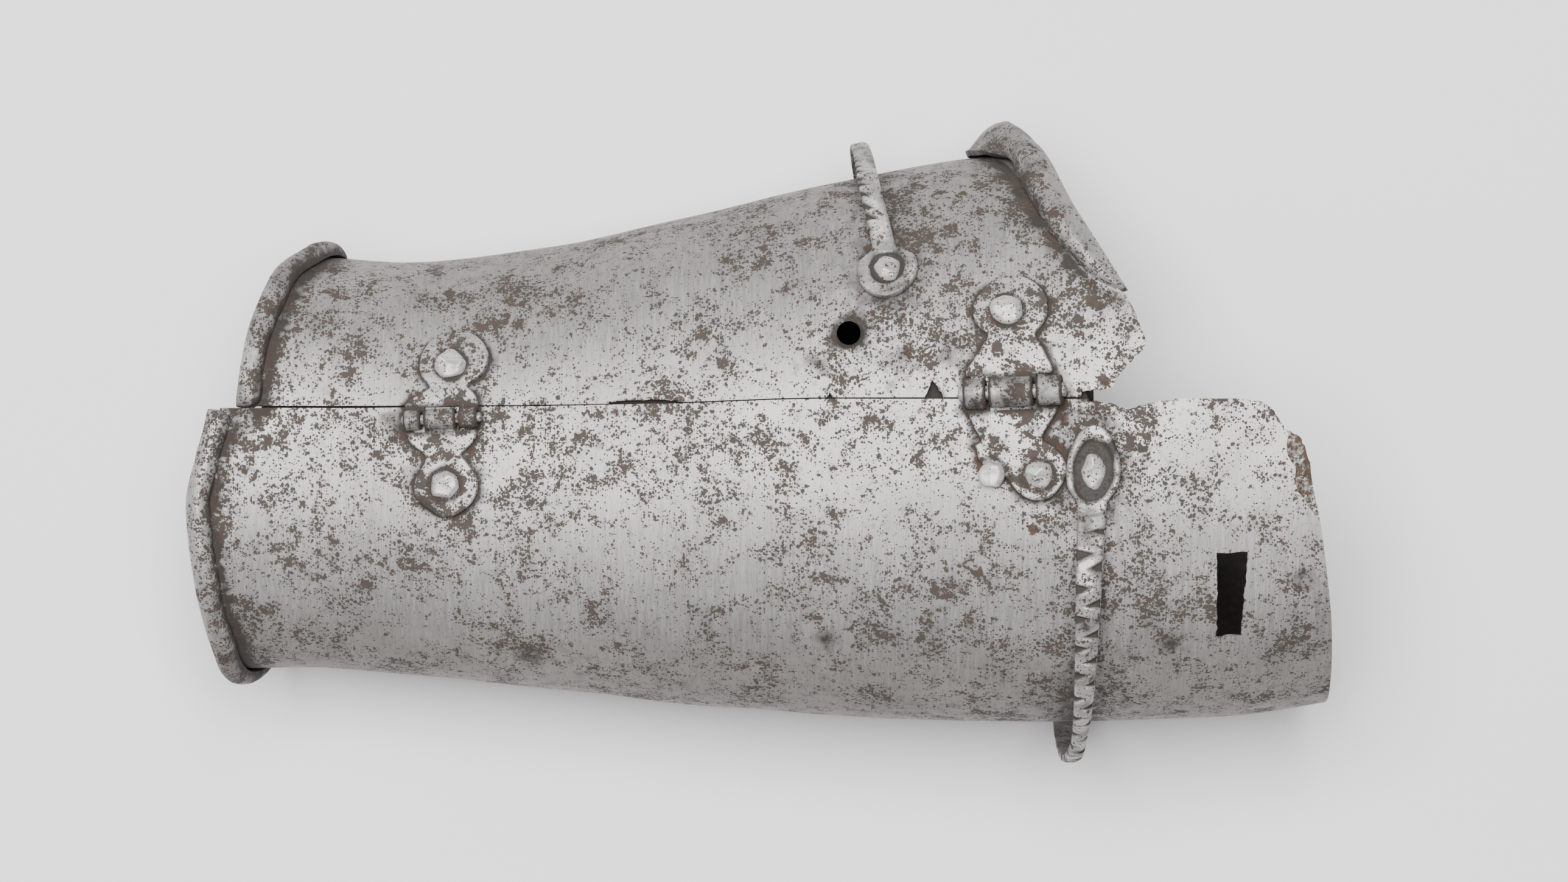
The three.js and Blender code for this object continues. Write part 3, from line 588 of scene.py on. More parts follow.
def roll_size(spec, turn):
    """How much of its full size a roll has at a turn."""
    if not spec["taper"]:
        return np.ones_like(np.asarray(turn, float))
    share = np.clip((spec["to"] - turn) / spec["taper"], 0, 1)
    return 0.42 + 0.58 * np.sqrt(share)


ARM_RADIUS = 50.0
ROLL_CLOSING = 2.6
CREST_FLARE = 0.85
CREST_LEAN = 2.2


def roll_closing(spec, turn):
    """How far a roll has been hammered shut at its two ends, 1 along its length."""
    from_end = np.minimum(turn - spec["from"], spec["to"] - turn)
    share = np.clip(np.radians(from_end) * ARM_RADIUS / ROLL_CLOSING, 0, 1)
    return 0.5 + 0.5 * np.sqrt(share * (2 - share))


def outer_wrist_end(turn):
    return read(OUTER_WRIST, "turn", "x", turn) + ROLLS["outer_wrist"]["width"] / 2


def outer_elbow_end(turn):
    return read(OUTER_ELBOW, "turn", "x", turn)


def inner_wrist_end(turn):
    return read(INNER_WRIST, "turn", "x", turn) + ROLLS["inner_wrist"]["width"] / 2


def inner_elbow_end(turn):
    spec = ROLLS["inner_elbow"]
    rolled = smooth_step(spec["from"] - 6, spec["from"], turn)
    rolled = rolled * smooth_step(-spec["to"] - 6, -spec["to"], -np.asarray(turn, float))
    return read(INNER_ELBOW, "turn", "x", turn) - rolled * roll_size(spec, turn) * spec["width"] / 2


def lap_depth(turn):
    """How deep the inner plate sinks at a turn, to pass under the outer plate's lower edge."""
    return (PLATE + LAP_GAP) * smooth_step(38, 68, -np.asarray(turn, float))


def plate_grid(wrist, elbow, edge_turns, depth, rows, columns):
    """Front and back of a plate between its two long edges."""
    share = np.linspace(0, 1, rows)[:, None]
    first, last = edge_turns(lambda turn: wrist(turn) + (elbow(turn) - wrist(turn)) * share)
    turn = first + (last - first) * np.linspace(0, 1, columns)[None, :]
    x = wrist(turn) + (elbow(turn) - wrist(turn)) * share
    outside = surface(x, turn)
    uneven = 0.16 * ripple(outside, 46, 3) + 0.07 * ripple(outside, 17, 4)
    front = over(x, turn, uneven - depth(turn))
    back = over(x, turn, uneven - depth(turn) - PLATE)
    return front, back


def outer_edges(place):
    x = place(90.0)
    seam = turn_at(x, read(SEAM, "x", "y", x))
    under = place(270.0)
    lower = 360 + turn_at(under, section(under)[0] + OUTER_CLOSING, -1)
    return seam, lower


def inner_edges(place):
    x = place(80.0)
    seam = turn_at(x, read(SEAM, "x", "y", x) + SEAM_GAP)
    under = place(-90.0)
    lower = turn_at(under, section(under)[0] + INNER_CLOSING, -1)
    return seam, lower


# Section of the stepped edge: away from the seam, then how much deeper than one plate and the gap
# its two faces lie.
FLANGE_SECTION = {
    "away": (FLANGE["width"], 4.0, 2.5, 1.0, -0.2, -0.9, -1.6, -2.4, -5.5),
    "face": (0, 0, 0, 0, -0.05, -0.2, -0.9, -1.6, -1.6),
    "back": (PLATE, PLATE, PLATE, PLATE, PLATE, PLATE, 1.1, 0.9, -0.75),
}
FLANGE_COLUMNS = 180


def flange():
    """The outer plate's stepped edge that runs under the inner plate along the hinge seam."""
    x = np.linspace(FLANGE["start"], FLANGE["end"], FLANGE_COLUMNS)[:, None]
    turn = turn_at(x, read(SEAM, "x", "y", x) + np.array(FLANGE_SECTION["away"])[None, :])
    x = np.broadcast_to(x, turn.shape)
    faces = []
    for name in ("face", "back"):
        depth = np.array(FLANGE_SECTION[name]) + (PLATE + FLANGE["gap"])
        faces.append(over(x, turn, -np.broadcast_to(depth, turn.shape)))
    return sheet(*faces)


ROLL_STEPS = 34


def roll_sheet(spec, end, towards, profile, columns, sink=lambda turn: 0 * turn, seed=1):
    """A hollow roll turned outwards over a plate's end. towards is 1 at the elbow, -1 at the wrist."""
    turn = np.linspace(spec["from"], spec["to"], columns)[None, :]
    rows = {"step": range(len(profile["back"])), "back": profile["back"], "up": profile["up"]}
    share = np.linspace(0, len(profile["back"]) - 1, ROLL_STEPS)[:, None]
    size = roll_size(spec, turn) * roll_closing(spec, turn)
    crest = over(read(end, "turn", "x", turn), turn, 0 * turn)
    dents = 0.09 * ripple(crest, 15, seed) + 0.07 * ripple(crest, 6, seed + 1)
    wave = 1 + dents * smooth_step(3, 8, share)
    reach = (spec["width"] * size - PLATE) / 2 * wave
    back = read(rows, "step", "back", share) * reach
    up = read(rows, "step", "up", share) * spec["height"] * size
    if spec["taper"]:
        flare = np.exp(-(turn / 22) ** 2)
        back = back - CREST_LEAN * flare * up / spec["height"]
        up = up * (1 + CREST_FLARE * flare)
        spread = np.maximum(1 - (turn / TONGUE["half_turn"]) ** 2, 0)
        drawn = smooth_step(0.72, 1.0, share / share[-1]) * spread
        back = back + drawn * TONGUE["length"]
        up = up - drawn * (up - PLATE - GAP - 0.2) * smooth_step(0.8, 1.0, share / share[-1])
    middle = read(end, "turn", "x", turn) - towards * spec["width"] * size / 2
    lead_back, lead_up = 2.0 + 0 * turn, 0 * turn
    back = np.concatenate([lead_back, back])
    up = np.concatenate([lead_up, up])
    slope_back = np.gradient(back, axis=0)
    slope_up = np.gradient(up, axis=0)
    length = np.hypot(slope_back, slope_up)
    half = PLATE / 2 * np.concatenate([0.85 + 0 * turn, np.ones((ROLL_STEPS, columns))])
    side_back, side_up = slope_up / length * half, -slope_back / length * half
    uneven = 0.13 * ripple(crest, 11, seed + 5) + 0.1 * ripple(crest, 4, seed + 6)

    def face(side):
        x = middle - towards * (back + side * side_back)
        height = up + side * side_up - PLATE / 2 - sink(turn) + uneven * smooth_step(0, 3, up)
        return over(x, np.broadcast_to(turn, x.shape), height)

    return sheet(face(1), face(-1))


OUTER_ROWS, OUTER_COLUMNS = 290, 225
INNER_ROWS, INNER_COLUMNS = 240, 200
HOLE_BEVEL = {"width": 0.75, "from": -0.5, "to": 0.35}
HOLE_SPAN = (-12, 9)
HOLE_SIDES = 56


def flake():
    """Room of the shallow layer that has come off the broken corner."""
    y = np.linspace(FLAKE["y"][0], FLAKE["y"][-1] + 2, 70)[:, None]
    tear = read(FLAKE, "y", "x", y)
    tear = tear + 0.2 * ripple(np.stack([tear, y, 0 * y], axis=-1), 1.6, 44)
    x = tear + np.linspace(0, 9, 30)[None, :]
    turn = turn_at(x, np.broadcast_to(y, x.shape))
    worn = 0.1 * ripple(surface(x, turn), 1.8, 41)
    return sheet(over(x, turn, 3.0 + 0 * x), over(x, turn, worn - FLAKE_DEPTH))


def build_outer_plate():
    made = make_object("armour_outer_plate", [
        sheet(*plate_grid(outer_wrist_end, outer_elbow_end, outer_edges, lambda turn: 0 * turn,
                          OUTER_ROWS, OUTER_COLUMNS)),
    ])
    combine(made, make_object("flange", [flange()]), "UNION")
    roll = roll_sheet(ROLLS["outer_wrist"], OUTER_WRIST, -1, ROUND_ROLL, 170, seed=21)
    combine(made, make_object("roll", [roll]), "UNION")
    cuts = [
        ragged(BROKEN_OUTER_EDGE, 0.7, 0.12, 31),
        ragged(BROKEN_OUTER_CORNER, 0.7, 0.14, 32),
        ragged(SLOT, 0.9, 0.12, 33),
    ]
    combine(made, make_prisms("cuts", cuts), "DIFFERENCE")
    combine(made, make_object("flake", [flake()]), "DIFFERENCE")
    return made


def hole_middle():
    return surface(ROUND_HOLE["x"], turn_at(ROUND_HOLE["x"], ROUND_HOLE["y"]))


def build_inner_plate():
    made = make_object("armour_inner_plate", [
        sheet(*plate_grid(inner_wrist_end, inner_elbow_end, inner_edges, lap_depth,
                          INNER_ROWS, INNER_COLUMNS)),
    ])
    combine(made, make_prisms("corner", [ragged(BROKEN_INNER_CORNER, 0.6, 0.13, 34)]), "DIFFERENCE")
    wrist = roll_sheet(ROLLS["inner_wrist"], INNER_WRIST, -1, ROUND_ROLL, 150, lap_depth, 22)
    combine(made, make_object("wrist_roll", [wrist]), "UNION")
    elbow = roll_sheet(ROLLS["inner_elbow"], INNER_ELBOW, 1, RIDGED_ROLL, 150, lap_depth, 23)
    combine(made, make_object("elbow_roll", [elbow]), "UNION")
    cuts = [ragged(tear, 0.6, 0.08, 35 + k) for k, tear in enumerate(EDGE_TEARS)]
    combine(made, make_prisms("cuts", cuts), "DIFFERENCE")
    radius = ROUND_HOLE["radius"]
    worn = radius + HOLE_BEVEL["width"]
    low, high = HOLE_SPAN
    points, faces = lathe([
        (NEAR_AXIS, low), (radius, low), (radius, HOLE_BEVEL["from"]),
        (worn, HOLE_BEVEL["to"]), (worn, high), (NEAR_AXIS, high),
    ], HOLE_SIDES)
    combine(made, make_object("hole", [(points + hole_middle(), faces)]), "DIFFERENCE")
    return made


# Hinges

def hinge_of(name):
    """The hinge that a leaf, a pin or a rivet belongs to."""
    return HINGES[name.split("_")[0]]


def side_of(name):
    """1 for what sits on the inner half and -1 for what sits on the outer half."""
    return 1 if "inner" in name else -1


def on_axis(hinge, along):
    return np.array(hinge["at"]) + AXIS * np.asarray(along, float)[..., None]


def axis_place(points, hinge):
    """Turns points round Z into points round the hinge axis."""
    turn = Vector((0, 0, 1)).rotation_difference(Vector(AXIS)).to_matrix()
    return points @ np.array(turn).T + np.array(hinge["at"])


EDGE_ROUNDING = 0.45
LEAF_BORDER = 0.6


def leaf_flat(hinge, outline, side):
    """The flat of a leaf, bent to lie on the plate, with worn round edges."""
    reach = outline["away"][-1]
    worn_end = reach - np.array([0.42, 0.25, 0.1, 0.0])
    away = np.concatenate([np.linspace(0, reach - LEAF_BORDER, 60), worn_end])[:, None]
    left = read(outline, "away", "left", away)
    right = read(outline, "away", "right", away)
    inset = np.array([0.0, 0.08, 0.2, 0.36, LEAF_BORDER])
    middle = np.linspace(0, 1, 22)[1:-1]
    width = right - left
    flat = left + LEAF_BORDER + (width - 2 * LEAF_BORDER) * middle[None, :]
    along = np.concatenate([left + inset[None, :], flat, right - inset[None, ::-1]], axis=1)
    edge = np.minimum(np.minimum(along - left, right - along), reach - away)
    fall = np.clip(1 - edge / EDGE_ROUNDING, 0, 1)
    drop = EDGE_ROUNDING * (1 - np.sqrt(1 - fall ** 2))
    on = on_axis(hinge, along)
    x = on[..., 0]
    turn = turn_at(x, on[..., 1] + side * away)
    outside = surface(x, turn)
    uneven = 0.05 * ripple(outside, 6, 51) + 0.025 * ripple(outside, 2.6, 52)
    top = over(x, turn, GAP + hinge["leaf"] - drop + uneven * (1 - fall))
    low = over(x, turn, GAP + 0 * away * along)
    return sheet(top, low)


def knuckle(hinge, span, seed):
    """A hinge knuckle with slightly rounded ends and a hammered skin."""
    start, end = span
    lead = np.array([0.0, 0.1, 0.3, 0.6])
    dip = np.array([0.35, 0.14, 0.04, 0.0])
    along = np.concatenate([start + lead, np.linspace(start + 1, end - 1, 6), end - lead[::-1]])
    radius = hinge["barrel"] - np.concatenate([dip, np.zeros(6), dip[::-1]])
    profile = [(hinge["bore"], start)]
    profile += list(zip(radius, along))
    profile += [(hinge["bore"], end)]
    points, faces = lathe(profile)
    swell = 1 + 0.025 * ripple(points, 3.4, seed)
    outside = np.hypot(points[:, 0], points[:, 1]) > hinge["bore"] * 1.02
    points[outside, :2] *= swell[outside, None]
    return axis_place(points, hinge), faces


def knuckle_room(hinge, span):
    """Room round the other leaf's knuckle."""
    half = hinge["barrel"] + SLOT_CLEARANCE
    start, end = span[0] - KNUCKLE_END_GAP, span[1] + KNUCKLE_END_GAP
    grid = np.array([[[along, across] for across in (-half, half)] for along in (start, end)])
    turn = np.array(Vector((1, 0, 0)).rotation_difference(Vector(AXIS)).to_matrix())

    def face(height):
        flat = np.concatenate([grid, np.full(grid.shape[:2] + (1,), height)], axis=2)
        return flat @ turn.T + np.array(hinge["at"])

    return sheet(face(half), face(-2 * half))


BORE_SPAN = (-20, 20)


def build_leaf(name):
    """A hinge leaf with its knuckles, bored for the pin and cut clear of the other leaf's knuckles."""
    hinge = hinge_of(name)
    side = side_of(name)
    own, other = (hinge["inner_knuckles"], hinge["outer_knuckles"])[::side]
    made = make_object("dressed_" + name, [leaf_flat(hinge, LEAVES[name], side)])
    rooms = [knuckle_room(hinge, span) for span in other]
    combine(made, make_object("rooms", rooms), "DIFFERENCE")
    barrels = [knuckle(hinge, span, 61 + k) for k, span in enumerate(own)]
    combine(made, make_object("barrels", barrels), "UNION")
    low, high = BORE_SPAN
    points, faces = lathe([(NEAR_AXIS, low), (hinge["bore"], low), (hinge["bore"], high), (NEAR_AXIS, high)])
    combine(made, make_object("bore", [(axis_place(points, hinge), faces)]), "DIFFERENCE")
    return made


# A pin's hammered end: shares of its radius, and how far in from the end they lie.
PIN_END = {"share": (0.6, 0.92, 1.0), "inset": (0.06, 0.25, 0.5)}


def build_pin(name):
    """A hinge pin with hammered round ends."""
    hinge = hinge_of(name)
    start, end = hinge["pin_span"]
    worn = [(hinge["pin"] * row["share"], row["inset"]) for row in rows_of(PIN_END)]
    profile = [(NEAR_AXIS, start)]
    profile += [(radius, start + inset) for radius, inset in worn]
    profile += [(radius, end - inset) for radius, inset in reversed(worn)]
    profile += [(NEAR_AXIS, end)]
    points, faces = lathe(profile, 28)
    return make_object("dressed_" + name, [(axis_place(points, hinge), faces)])


# Strap loops

def loop_arm(loop):
    """Length of a loop round the arm and the radius that it is measured at."""
    y_mid, y_half, z_mid, z_half = section(loop["drift"]["x"][1])
    radius = (y_half + z_half) / 2
    return math.radians(abs(loop["far_turn"] - loop["eye_turn"])) * radius, radius


def loop_turn(loop, s, radius):
    return loop["eye_turn"] + math.copysign(1, loop["far_turn"] - loop["eye_turn"]) * np.degrees(s / radius)


def loop_standoff(loop, s, length):
    inside = np.minimum(s, length - s) - loop["eye"] + 1
    return GAP + (loop["standoff"] - GAP) * smooth_step(0, loop["rise"], inside)


def loop_half_width(loop, s, length):
    """Half the width along a loop: a round eye at each end that draws in to the bar."""
    from_end = np.minimum(s + loop["eye"], length + loop["eye"] - s)
    middle = np.clip(np.minimum(s, length - s) / (length / 2), 0, 1)
    bar = loop["width_at_eye"] + (loop["width_at_crest"] - loop["width_at_eye"]) * middle
    ring = np.sqrt(np.clip(loop["eye"] ** 2 - (from_end - loop["eye"]) ** 2, 0, None))
    ring = ring * loop["roundness"]
    blend = smooth_step(loop["eye"] * 0.35, loop["eye"] * 1.05, from_end - loop["eye"])
    return np.maximum(ring, bar * smooth_step(-0.2, 0.6, from_end - loop["eye"])) * (1 - blend) + bar * blend


LOOP_EDGE = 0.7
DISH_DEPTH = 0.75
CHAMFER = 0.55
COLLAR_HEIGHT = 0.4
NOTCH_START = 2.6


def eye_dish(loop, s, across, length):
    """How deep the hollow round a loop's rivet is, from 1 in the middle to 0 on the rim."""
    across = across / loop["roundness"]
    r = np.minimum(np.hypot(s, across), np.hypot(length - s, across)) / loop["eye"]
    return 1 - smooth_step(*loop["dish"], r)


def build_loop_body(name, loop):
    """A loop's bar and eyes as one closed sheet, with the values that its notches are filed by."""
    length, radius = loop_arm(loop)
    reach = loop["eye"]
    eye_rows = reach * np.cos(np.linspace(math.pi, 0.5 * math.pi, 60))
    s = np.concatenate([
        eye_rows + 0.02, np.arange(0.16, length - 0.1, 0.17), (length - eye_rows - 0.02)[::-1],
    ])[:, None]
    half = np.maximum(loop_half_width(loop, s, length), 0.35)
    across = np.sin(np.linspace(-0.5, 0.5, 31) * math.pi)[None, :]
    thick = loop["eye_thick"] + (loop["bar"] - loop["eye_thick"]) * smooth_step(0, reach, s)
    dish = eye_dish(loop, s, across * half, length)
    edge = half * (1 - np.abs(across))
    fall = np.clip(1 - edge / LOOP_EDGE, 0, 1)
    drop = LOOP_EDGE * (1 - np.sqrt(1 - fall ** 2))
    on_bar = smooth_step(reach * 0.9, reach * 1.3, np.minimum(s, length - s))
    chamfer = CHAMFER * on_bar * np.clip((across - 0.3) / 0.7, 0, 1)
    collar = 0
    if loop["collar"]:
        bow = np.minimum(s, length - s) - loop["collar"] + 0.9 * across ** 2
        collar = COLLAR_HEIGHT * np.exp(-(bow / 0.55) ** 2)
    turn = np.broadcast_to(loop_turn(loop, s, radius), (len(s), across.shape[1]))
    x = read(loop["drift"], "turn", "x", turn) + across * half
    base = np.broadcast_to(loop_standoff(loop, s, length), x.shape)
    bar_skin = surface(x, turn)
    worn = 0.07 * ripple(bar_skin, 5, 81) + 0.04 * ripple(bar_skin, 2, 82)
    top = over(x, turn, base + thick - drop - chamfer + collar + worn * (1 - fall) - DISH_DEPTH * dish)
    low = over(x, turn, base + 0.5 * drop)
    made = make_object(name, [sheet(top, low)])
    filed = smooth_step(0, 1.0, np.minimum(s, length - s) - reach - NOTCH_START)
    into = np.concatenate([-normal(x, turn).reshape(-1, 3), np.zeros((x.size, 3))])
    grubby = 0.28 + 0.35 * ripple(bar_skin, 6, 83)
    marks = {"along": (s, 1), "across": (across, 1), "filed": (filed, 0), "dark": (grubby + dish, 1)}
    for title, (values, under) in marks.items():
        values = np.broadcast_to(values, x.shape).ravel()
        add_layer(made.data, title, "FLOAT", np.concatenate([values, values * under]))
    add_layer(made.data, "into", "FLOAT_VECTOR", into)
    return made


# Node trees

def node(tree, kind, inputs=None, **settings):
    """A node with its settings, and inputs that are values or other nodes' outputs."""
    made = tree.nodes.new(kind)
    for key, value in settings.items():
        setattr(made, key, value)
    for key, value in (inputs or {}).items():
        socket = made.inputs[key]
        if isinstance(value, bpy.types.NodeSocket):
            tree.links.new(value, socket)
        else:
            socket.default_value = value
    return made


def new_geometry_tree(name, inputs):
    """A Geometry Nodes tree with a geometry in and out and further named inputs."""
    tree = bpy.data.node_groups.new(name, "GeometryNodeTree")
    tree.interface.new_socket("Geometry", in_out="INPUT", socket_type="NodeSocketGeometry")
    tree.interface.new_socket("Geometry", in_out="OUTPUT", socket_type="NodeSocketGeometry")
    for title, kind, default in inputs:
        socket = tree.interface.new_socket(title, in_out="INPUT", socket_type=kind)
        if default is not None:
            socket.default_value = default
    return tree, tree.nodes.new("NodeGroupInput"), tree.nodes.new("NodeGroupOutput")


def named_vector(tree, name):
    return node(tree, "GeometryNodeInputNamedAttribute", {"Name": name}, data_type="FLOAT_VECTOR").outputs[0]


def named_number(tree, name):
    return node(tree, "GeometryNodeInputNamedAttribute", {"Name": name}, data_type="FLOAT").outputs[0]


def field(tree, operation, a, b=0.0, clamp=False):
    return node(tree, "ShaderNodeMath", {0: a, 1: b}, operation=operation, use_clamp=clamp).outputs[0]


def times(tree, *values):
    total = values[0]
    for value in values[1:]:
        total = field(tree, "MULTIPLY", total, value)
    return total


def plus(tree, *values):
    total = values[0]
    for value in values[1:]:
        total = field(tree, "ADD", total, value)
    return total


def scaled(tree, vector, size):
    return node(tree, "ShaderNodeVectorMath", {0: vector, "Scale": size}, operation="SCALE").outputs[0]


def store_number(tree, geometry, name, value):
    return node(tree, "GeometryNodeStoreNamedAttribute", {
        "Geometry": geometry, "Name": name, "Value": value,
    }, data_type="FLOAT", domain="POINT").outputs[0]


def notch_tree():
    """Files a row of wedges into a bar's top, each from one edge to a point short of the other."""
    tree, given, out = new_geometry_tree("filed_notches", [
        ("Pitch", "NodeSocketFloat", 3.0),
        ("Width", "NodeSocketFloat", 2.2),
        ("Depth", "NodeSocketFloat", 0.9),
        ("Share", "NodeSocketFloat", 0.7),
        ("Slant", "NodeSocketFloat", 0.0),
        ("Both sides", "NodeSocketFloat", 1.0),
        ("Seed", "NodeSocketInt", 7),
        ("Material", "NodeSocketMaterial", None),
    ])
    want = given.outputs
    along = named_number(tree, "along")
    across = named_number(tree, "across")
    leant = field(tree, "ADD", along, field(tree, "MULTIPLY", across, want["Slant"]))
    count = field(tree, "DIVIDE", leant, want["Pitch"])
    which = field(tree, "FLOOR", count)
    chance = node(tree, "FunctionNodeRandomValue", {
        2: -0.12, 3: 0.12, "ID": which, "Seed": want["Seed"],
    }, data_type="FLOAT").outputs[1]
    middle = field(tree, "ADD", field(tree, "ADD", which, 0.5), chance)
    off = field(tree, "ABSOLUTE", times(tree, field(tree, "SUBTRACT", count, middle), want["Pitch"]))
    odd = field(tree, "FLOORED_MODULO", which, 2.0)
    side = field(tree, "SUBTRACT", times(tree, odd, 2.0, want["Both sides"]), 1.0)
    from_edge = field(tree, "DIVIDE", field(tree, "SUBTRACT", 1.0, times(tree, side, across)), 2.0)
    length = field(tree, "MULTIPLY", want["Share"], field(tree, "ADD", 1.0, chance))
    rest = field(tree, "SUBTRACT", 1.0, field(tree, "DIVIDE", from_edge, length))
    narrow = field(tree, "DIVIDE", field(tree, "MULTIPLY", off, 2.0), want["Width"])
    wedge = field(tree, "MULTIPLY", field(tree, "SUBTRACT", rest, narrow), 2.2, True)
    cut = field(tree, "MULTIPLY", wedge, named_number(tree, "filed"))
    marked = store_number(tree, want["Geometry"], "cut", cut)
    push = scaled(tree, named_vector(tree, "into"), times(tree, named_number(tree, "cut"), want["Depth"], MM))
    filed = node(tree, "GeometryNodeSetPosition", {"Geometry": marked, "Offset": push})
    whole = node(tree, "GeometryNodeRealizeInstances", {"Geometry": filed.outputs[0]})
    paint = node(tree, "GeometryNodeSetMaterial", {
        "Geometry": whole.outputs[0], "Material": want["Material"],
    })
    tree.links.new(paint.outputs[0], out.inputs[0])
    return tree


def rivet_tree():
    """A flat dome on each point, faceted by hammer blows, with a dark ring where it meets the steel."""
    tree, given, out = new_geometry_tree("hammered_rivets", [
        ("Fullness", "NodeSocketFloat", 2.5),
        ("Blow depth", "NodeSocketFloat", 0.0009),
        ("Blow size", "NodeSocketFloat", 400.0),
        ("Seed", "NodeSocketInt", 5),
        ("Material", "NodeSocketMaterial", None),
    ])
    want = given.outputs
    ball = node(tree, "GeometryNodeMeshUVSphere", {"Segments": 48, "Rings": 32, "Radius": 1.0})
    place = node(tree, "GeometryNodeInputPosition").outputs[0]
    parts = node(tree, "ShaderNodeSeparateXYZ", {"Vector": place}).outputs
    plan = field(tree, "SQRT", plus(tree, *(field(tree, "POWER", parts[axis], 2.0) for axis in "XY")))
    height = field(tree, "ABSOLUTE", parts["Z"])
    spread = plus(tree, *(field(tree, "POWER", size, want["Fullness"]) for size in (plan, height)))
    full = field(tree, "POWER", spread, field(tree, "DIVIDE", -1.0, want["Fullness"]))
    grown = node(tree, "ShaderNodeSeparateXYZ", {"Vector": scaled(tree, place, full)}).outputs
    flat = node(tree, "ShaderNodeCombineXYZ", {
        "X": grown["X"], "Y": grown["Y"], "Z": field(tree, "MAXIMUM", grown["Z"], -0.3),
    }).outputs[0]
    ring = node(tree, "ShaderNodeMapRange", {
        "Value": height, "From Min": 0.3, "From Max": 0.05, "To Min": 0.0, "To Max": 0.95,
    }, clamp=True).outputs[0]
    marked = store_number(tree, ball.outputs["Mesh"], "dark", ring)
    dome = node(tree, "GeometryNodeSetPosition", {"Geometry": marked, "Position": flat}).outputs[0]
    aim = node(tree, "FunctionNodeAxesToRotation", {
        "Primary Axis": named_vector(tree, "up"), "Secondary Axis": (1.0, 0.0, 0.0),
    }).outputs[0]
    domes = node(tree, "GeometryNodeInstanceOnPoints", {
        "Points": want["Geometry"], "Instance": dome, "Rotation": aim, "Scale": named_vector(tree, "size"),
    }).outputs[0]
    real = node(tree, "GeometryNodeRealizeInstances", {"Geometry": domes}).outputs[0]
    drift = node(tree, "ShaderNodeCombineXYZ", {"X": want["Seed"]}).outputs[0]
    where = node(tree, "ShaderNodeVectorMath", {0: place, 1: drift}, operation="ADD").outputs[0]
    blows = node(tree, "ShaderNodeTexVoronoi", {"Vector": where, "Scale": want["Blow size"]}, feature="F1")
    deep = field(tree, "MULTIPLY", field(tree, "POWER", blows.outputs["Distance"], 2.0), want["Blow depth"])
    deep = field(tree, "SUBTRACT", deep, field(tree, "MULTIPLY", want["Blow depth"], 0.2))
    way = node(tree, "GeometryNodeInputNormal").outputs[0]
    push = scaled(tree, way, deep)
    struck = node(tree, "GeometryNodeSetPosition", {"Geometry": real, "Offset": push}).outputs[0]
    even = node(tree, "GeometryNodeSetShadeSmooth", {"Geometry": struck}).outputs[0]
    paint = node(tree, "GeometryNodeSetMaterial", {"Geometry": even, "Material": want["Material"]})
    tree.links.new(paint.outputs[0], out.inputs[0])
    return tree


def apply_tree(made, tree, values):
    """Runs a Geometry Nodes tree on an object, with its inputs set by identifier, as a plain mesh."""
    change = made.modifiers.new(tree.name, "NODES")
    change.node_group = tree
    for item in tree.interface.items_tree:
        if item.in_out == "INPUT" and item.name in values:
            change[item.identifier] = values[item.name]
    bake_modifiers(made)


# Materials

def mix_colour(tree, share, a, b, way="MIX"):
    made = node(tree, "ShaderNodeMix", data_type="RGBA", blend_type=way)
    for index, value in ((0, share), (6, a), (7, b)):
        if isinstance(value, bpy.types.NodeSocket):
            tree.links.new(value, made.inputs[index])
        else:
            made.inputs[index].default_value = value
    return made.outputs[2]


def between(tree, value, low, high, to_low=0.0, to_high=1.0):
    """Maps a value between two limits, clamped."""
    return node(tree, "ShaderNodeMapRange", {
        "Value": value, "From Min": low, "From Max": high, "To Min": to_low, "To Max": to_high,
    }, clamp=True).outputs[0]


def noise(tree, vector, scale, detail=3.0, rough=0.55):
    return node(tree, "ShaderNodeTexNoise", {
        "Vector": vector, "Scale": scale, "Detail": detail, "Roughness": rough,
    }).outputs["Fac"]


def attribute(tree, name, output="Fac"):
    return node(tree, "ShaderNodeAttribute", attribute_name=name).outputs[output]


def millimetres(tree):
    """Object coordinates in millimetres."""
    coords = node(tree, "ShaderNodeTexCoord").outputs["Object"]
    return scaled(tree, coords, 1 / MM)


def around_zero(tree, value, size):
    """A noise value moved to run either side of nought."""
    return field(tree, "MULTIPLY", field(tree, "SUBTRACT", value, 0.5), size)


def pit_layer(tree, place, scale, density, full, uneven):
    """Round pits with ragged edges, more of them and wider ones where the density is higher."""
    cells = node(tree, "ShaderNodeTexVoronoi", {"Vector": place, "Scale": scale}, feature="F1").outputs
    chance = node(tree, "ShaderNodeSeparateColor", {"Color": cells["Color"]}).outputs["Red"]
    share = field(tree, "MAXIMUM", field(tree, "SUBTRACT", density, chance), 0.0)
    radius = times(tree, field(tree, "SQRT", share), full)
    return between(tree, field(tree, "SUBTRACT", radius, plus(tree, cells["Distance"], uneven)), -0.01, 0.05)


# Multiplied in towards the crests: partly tarnish, partly painted shade where the plates turn away from the
# light.
TARNISH_AND_CREST_SHADE = (0.42, 0.39, 0.37, 1)
BRUSH_STRETCH = (1.0, 0.06, 1.0)


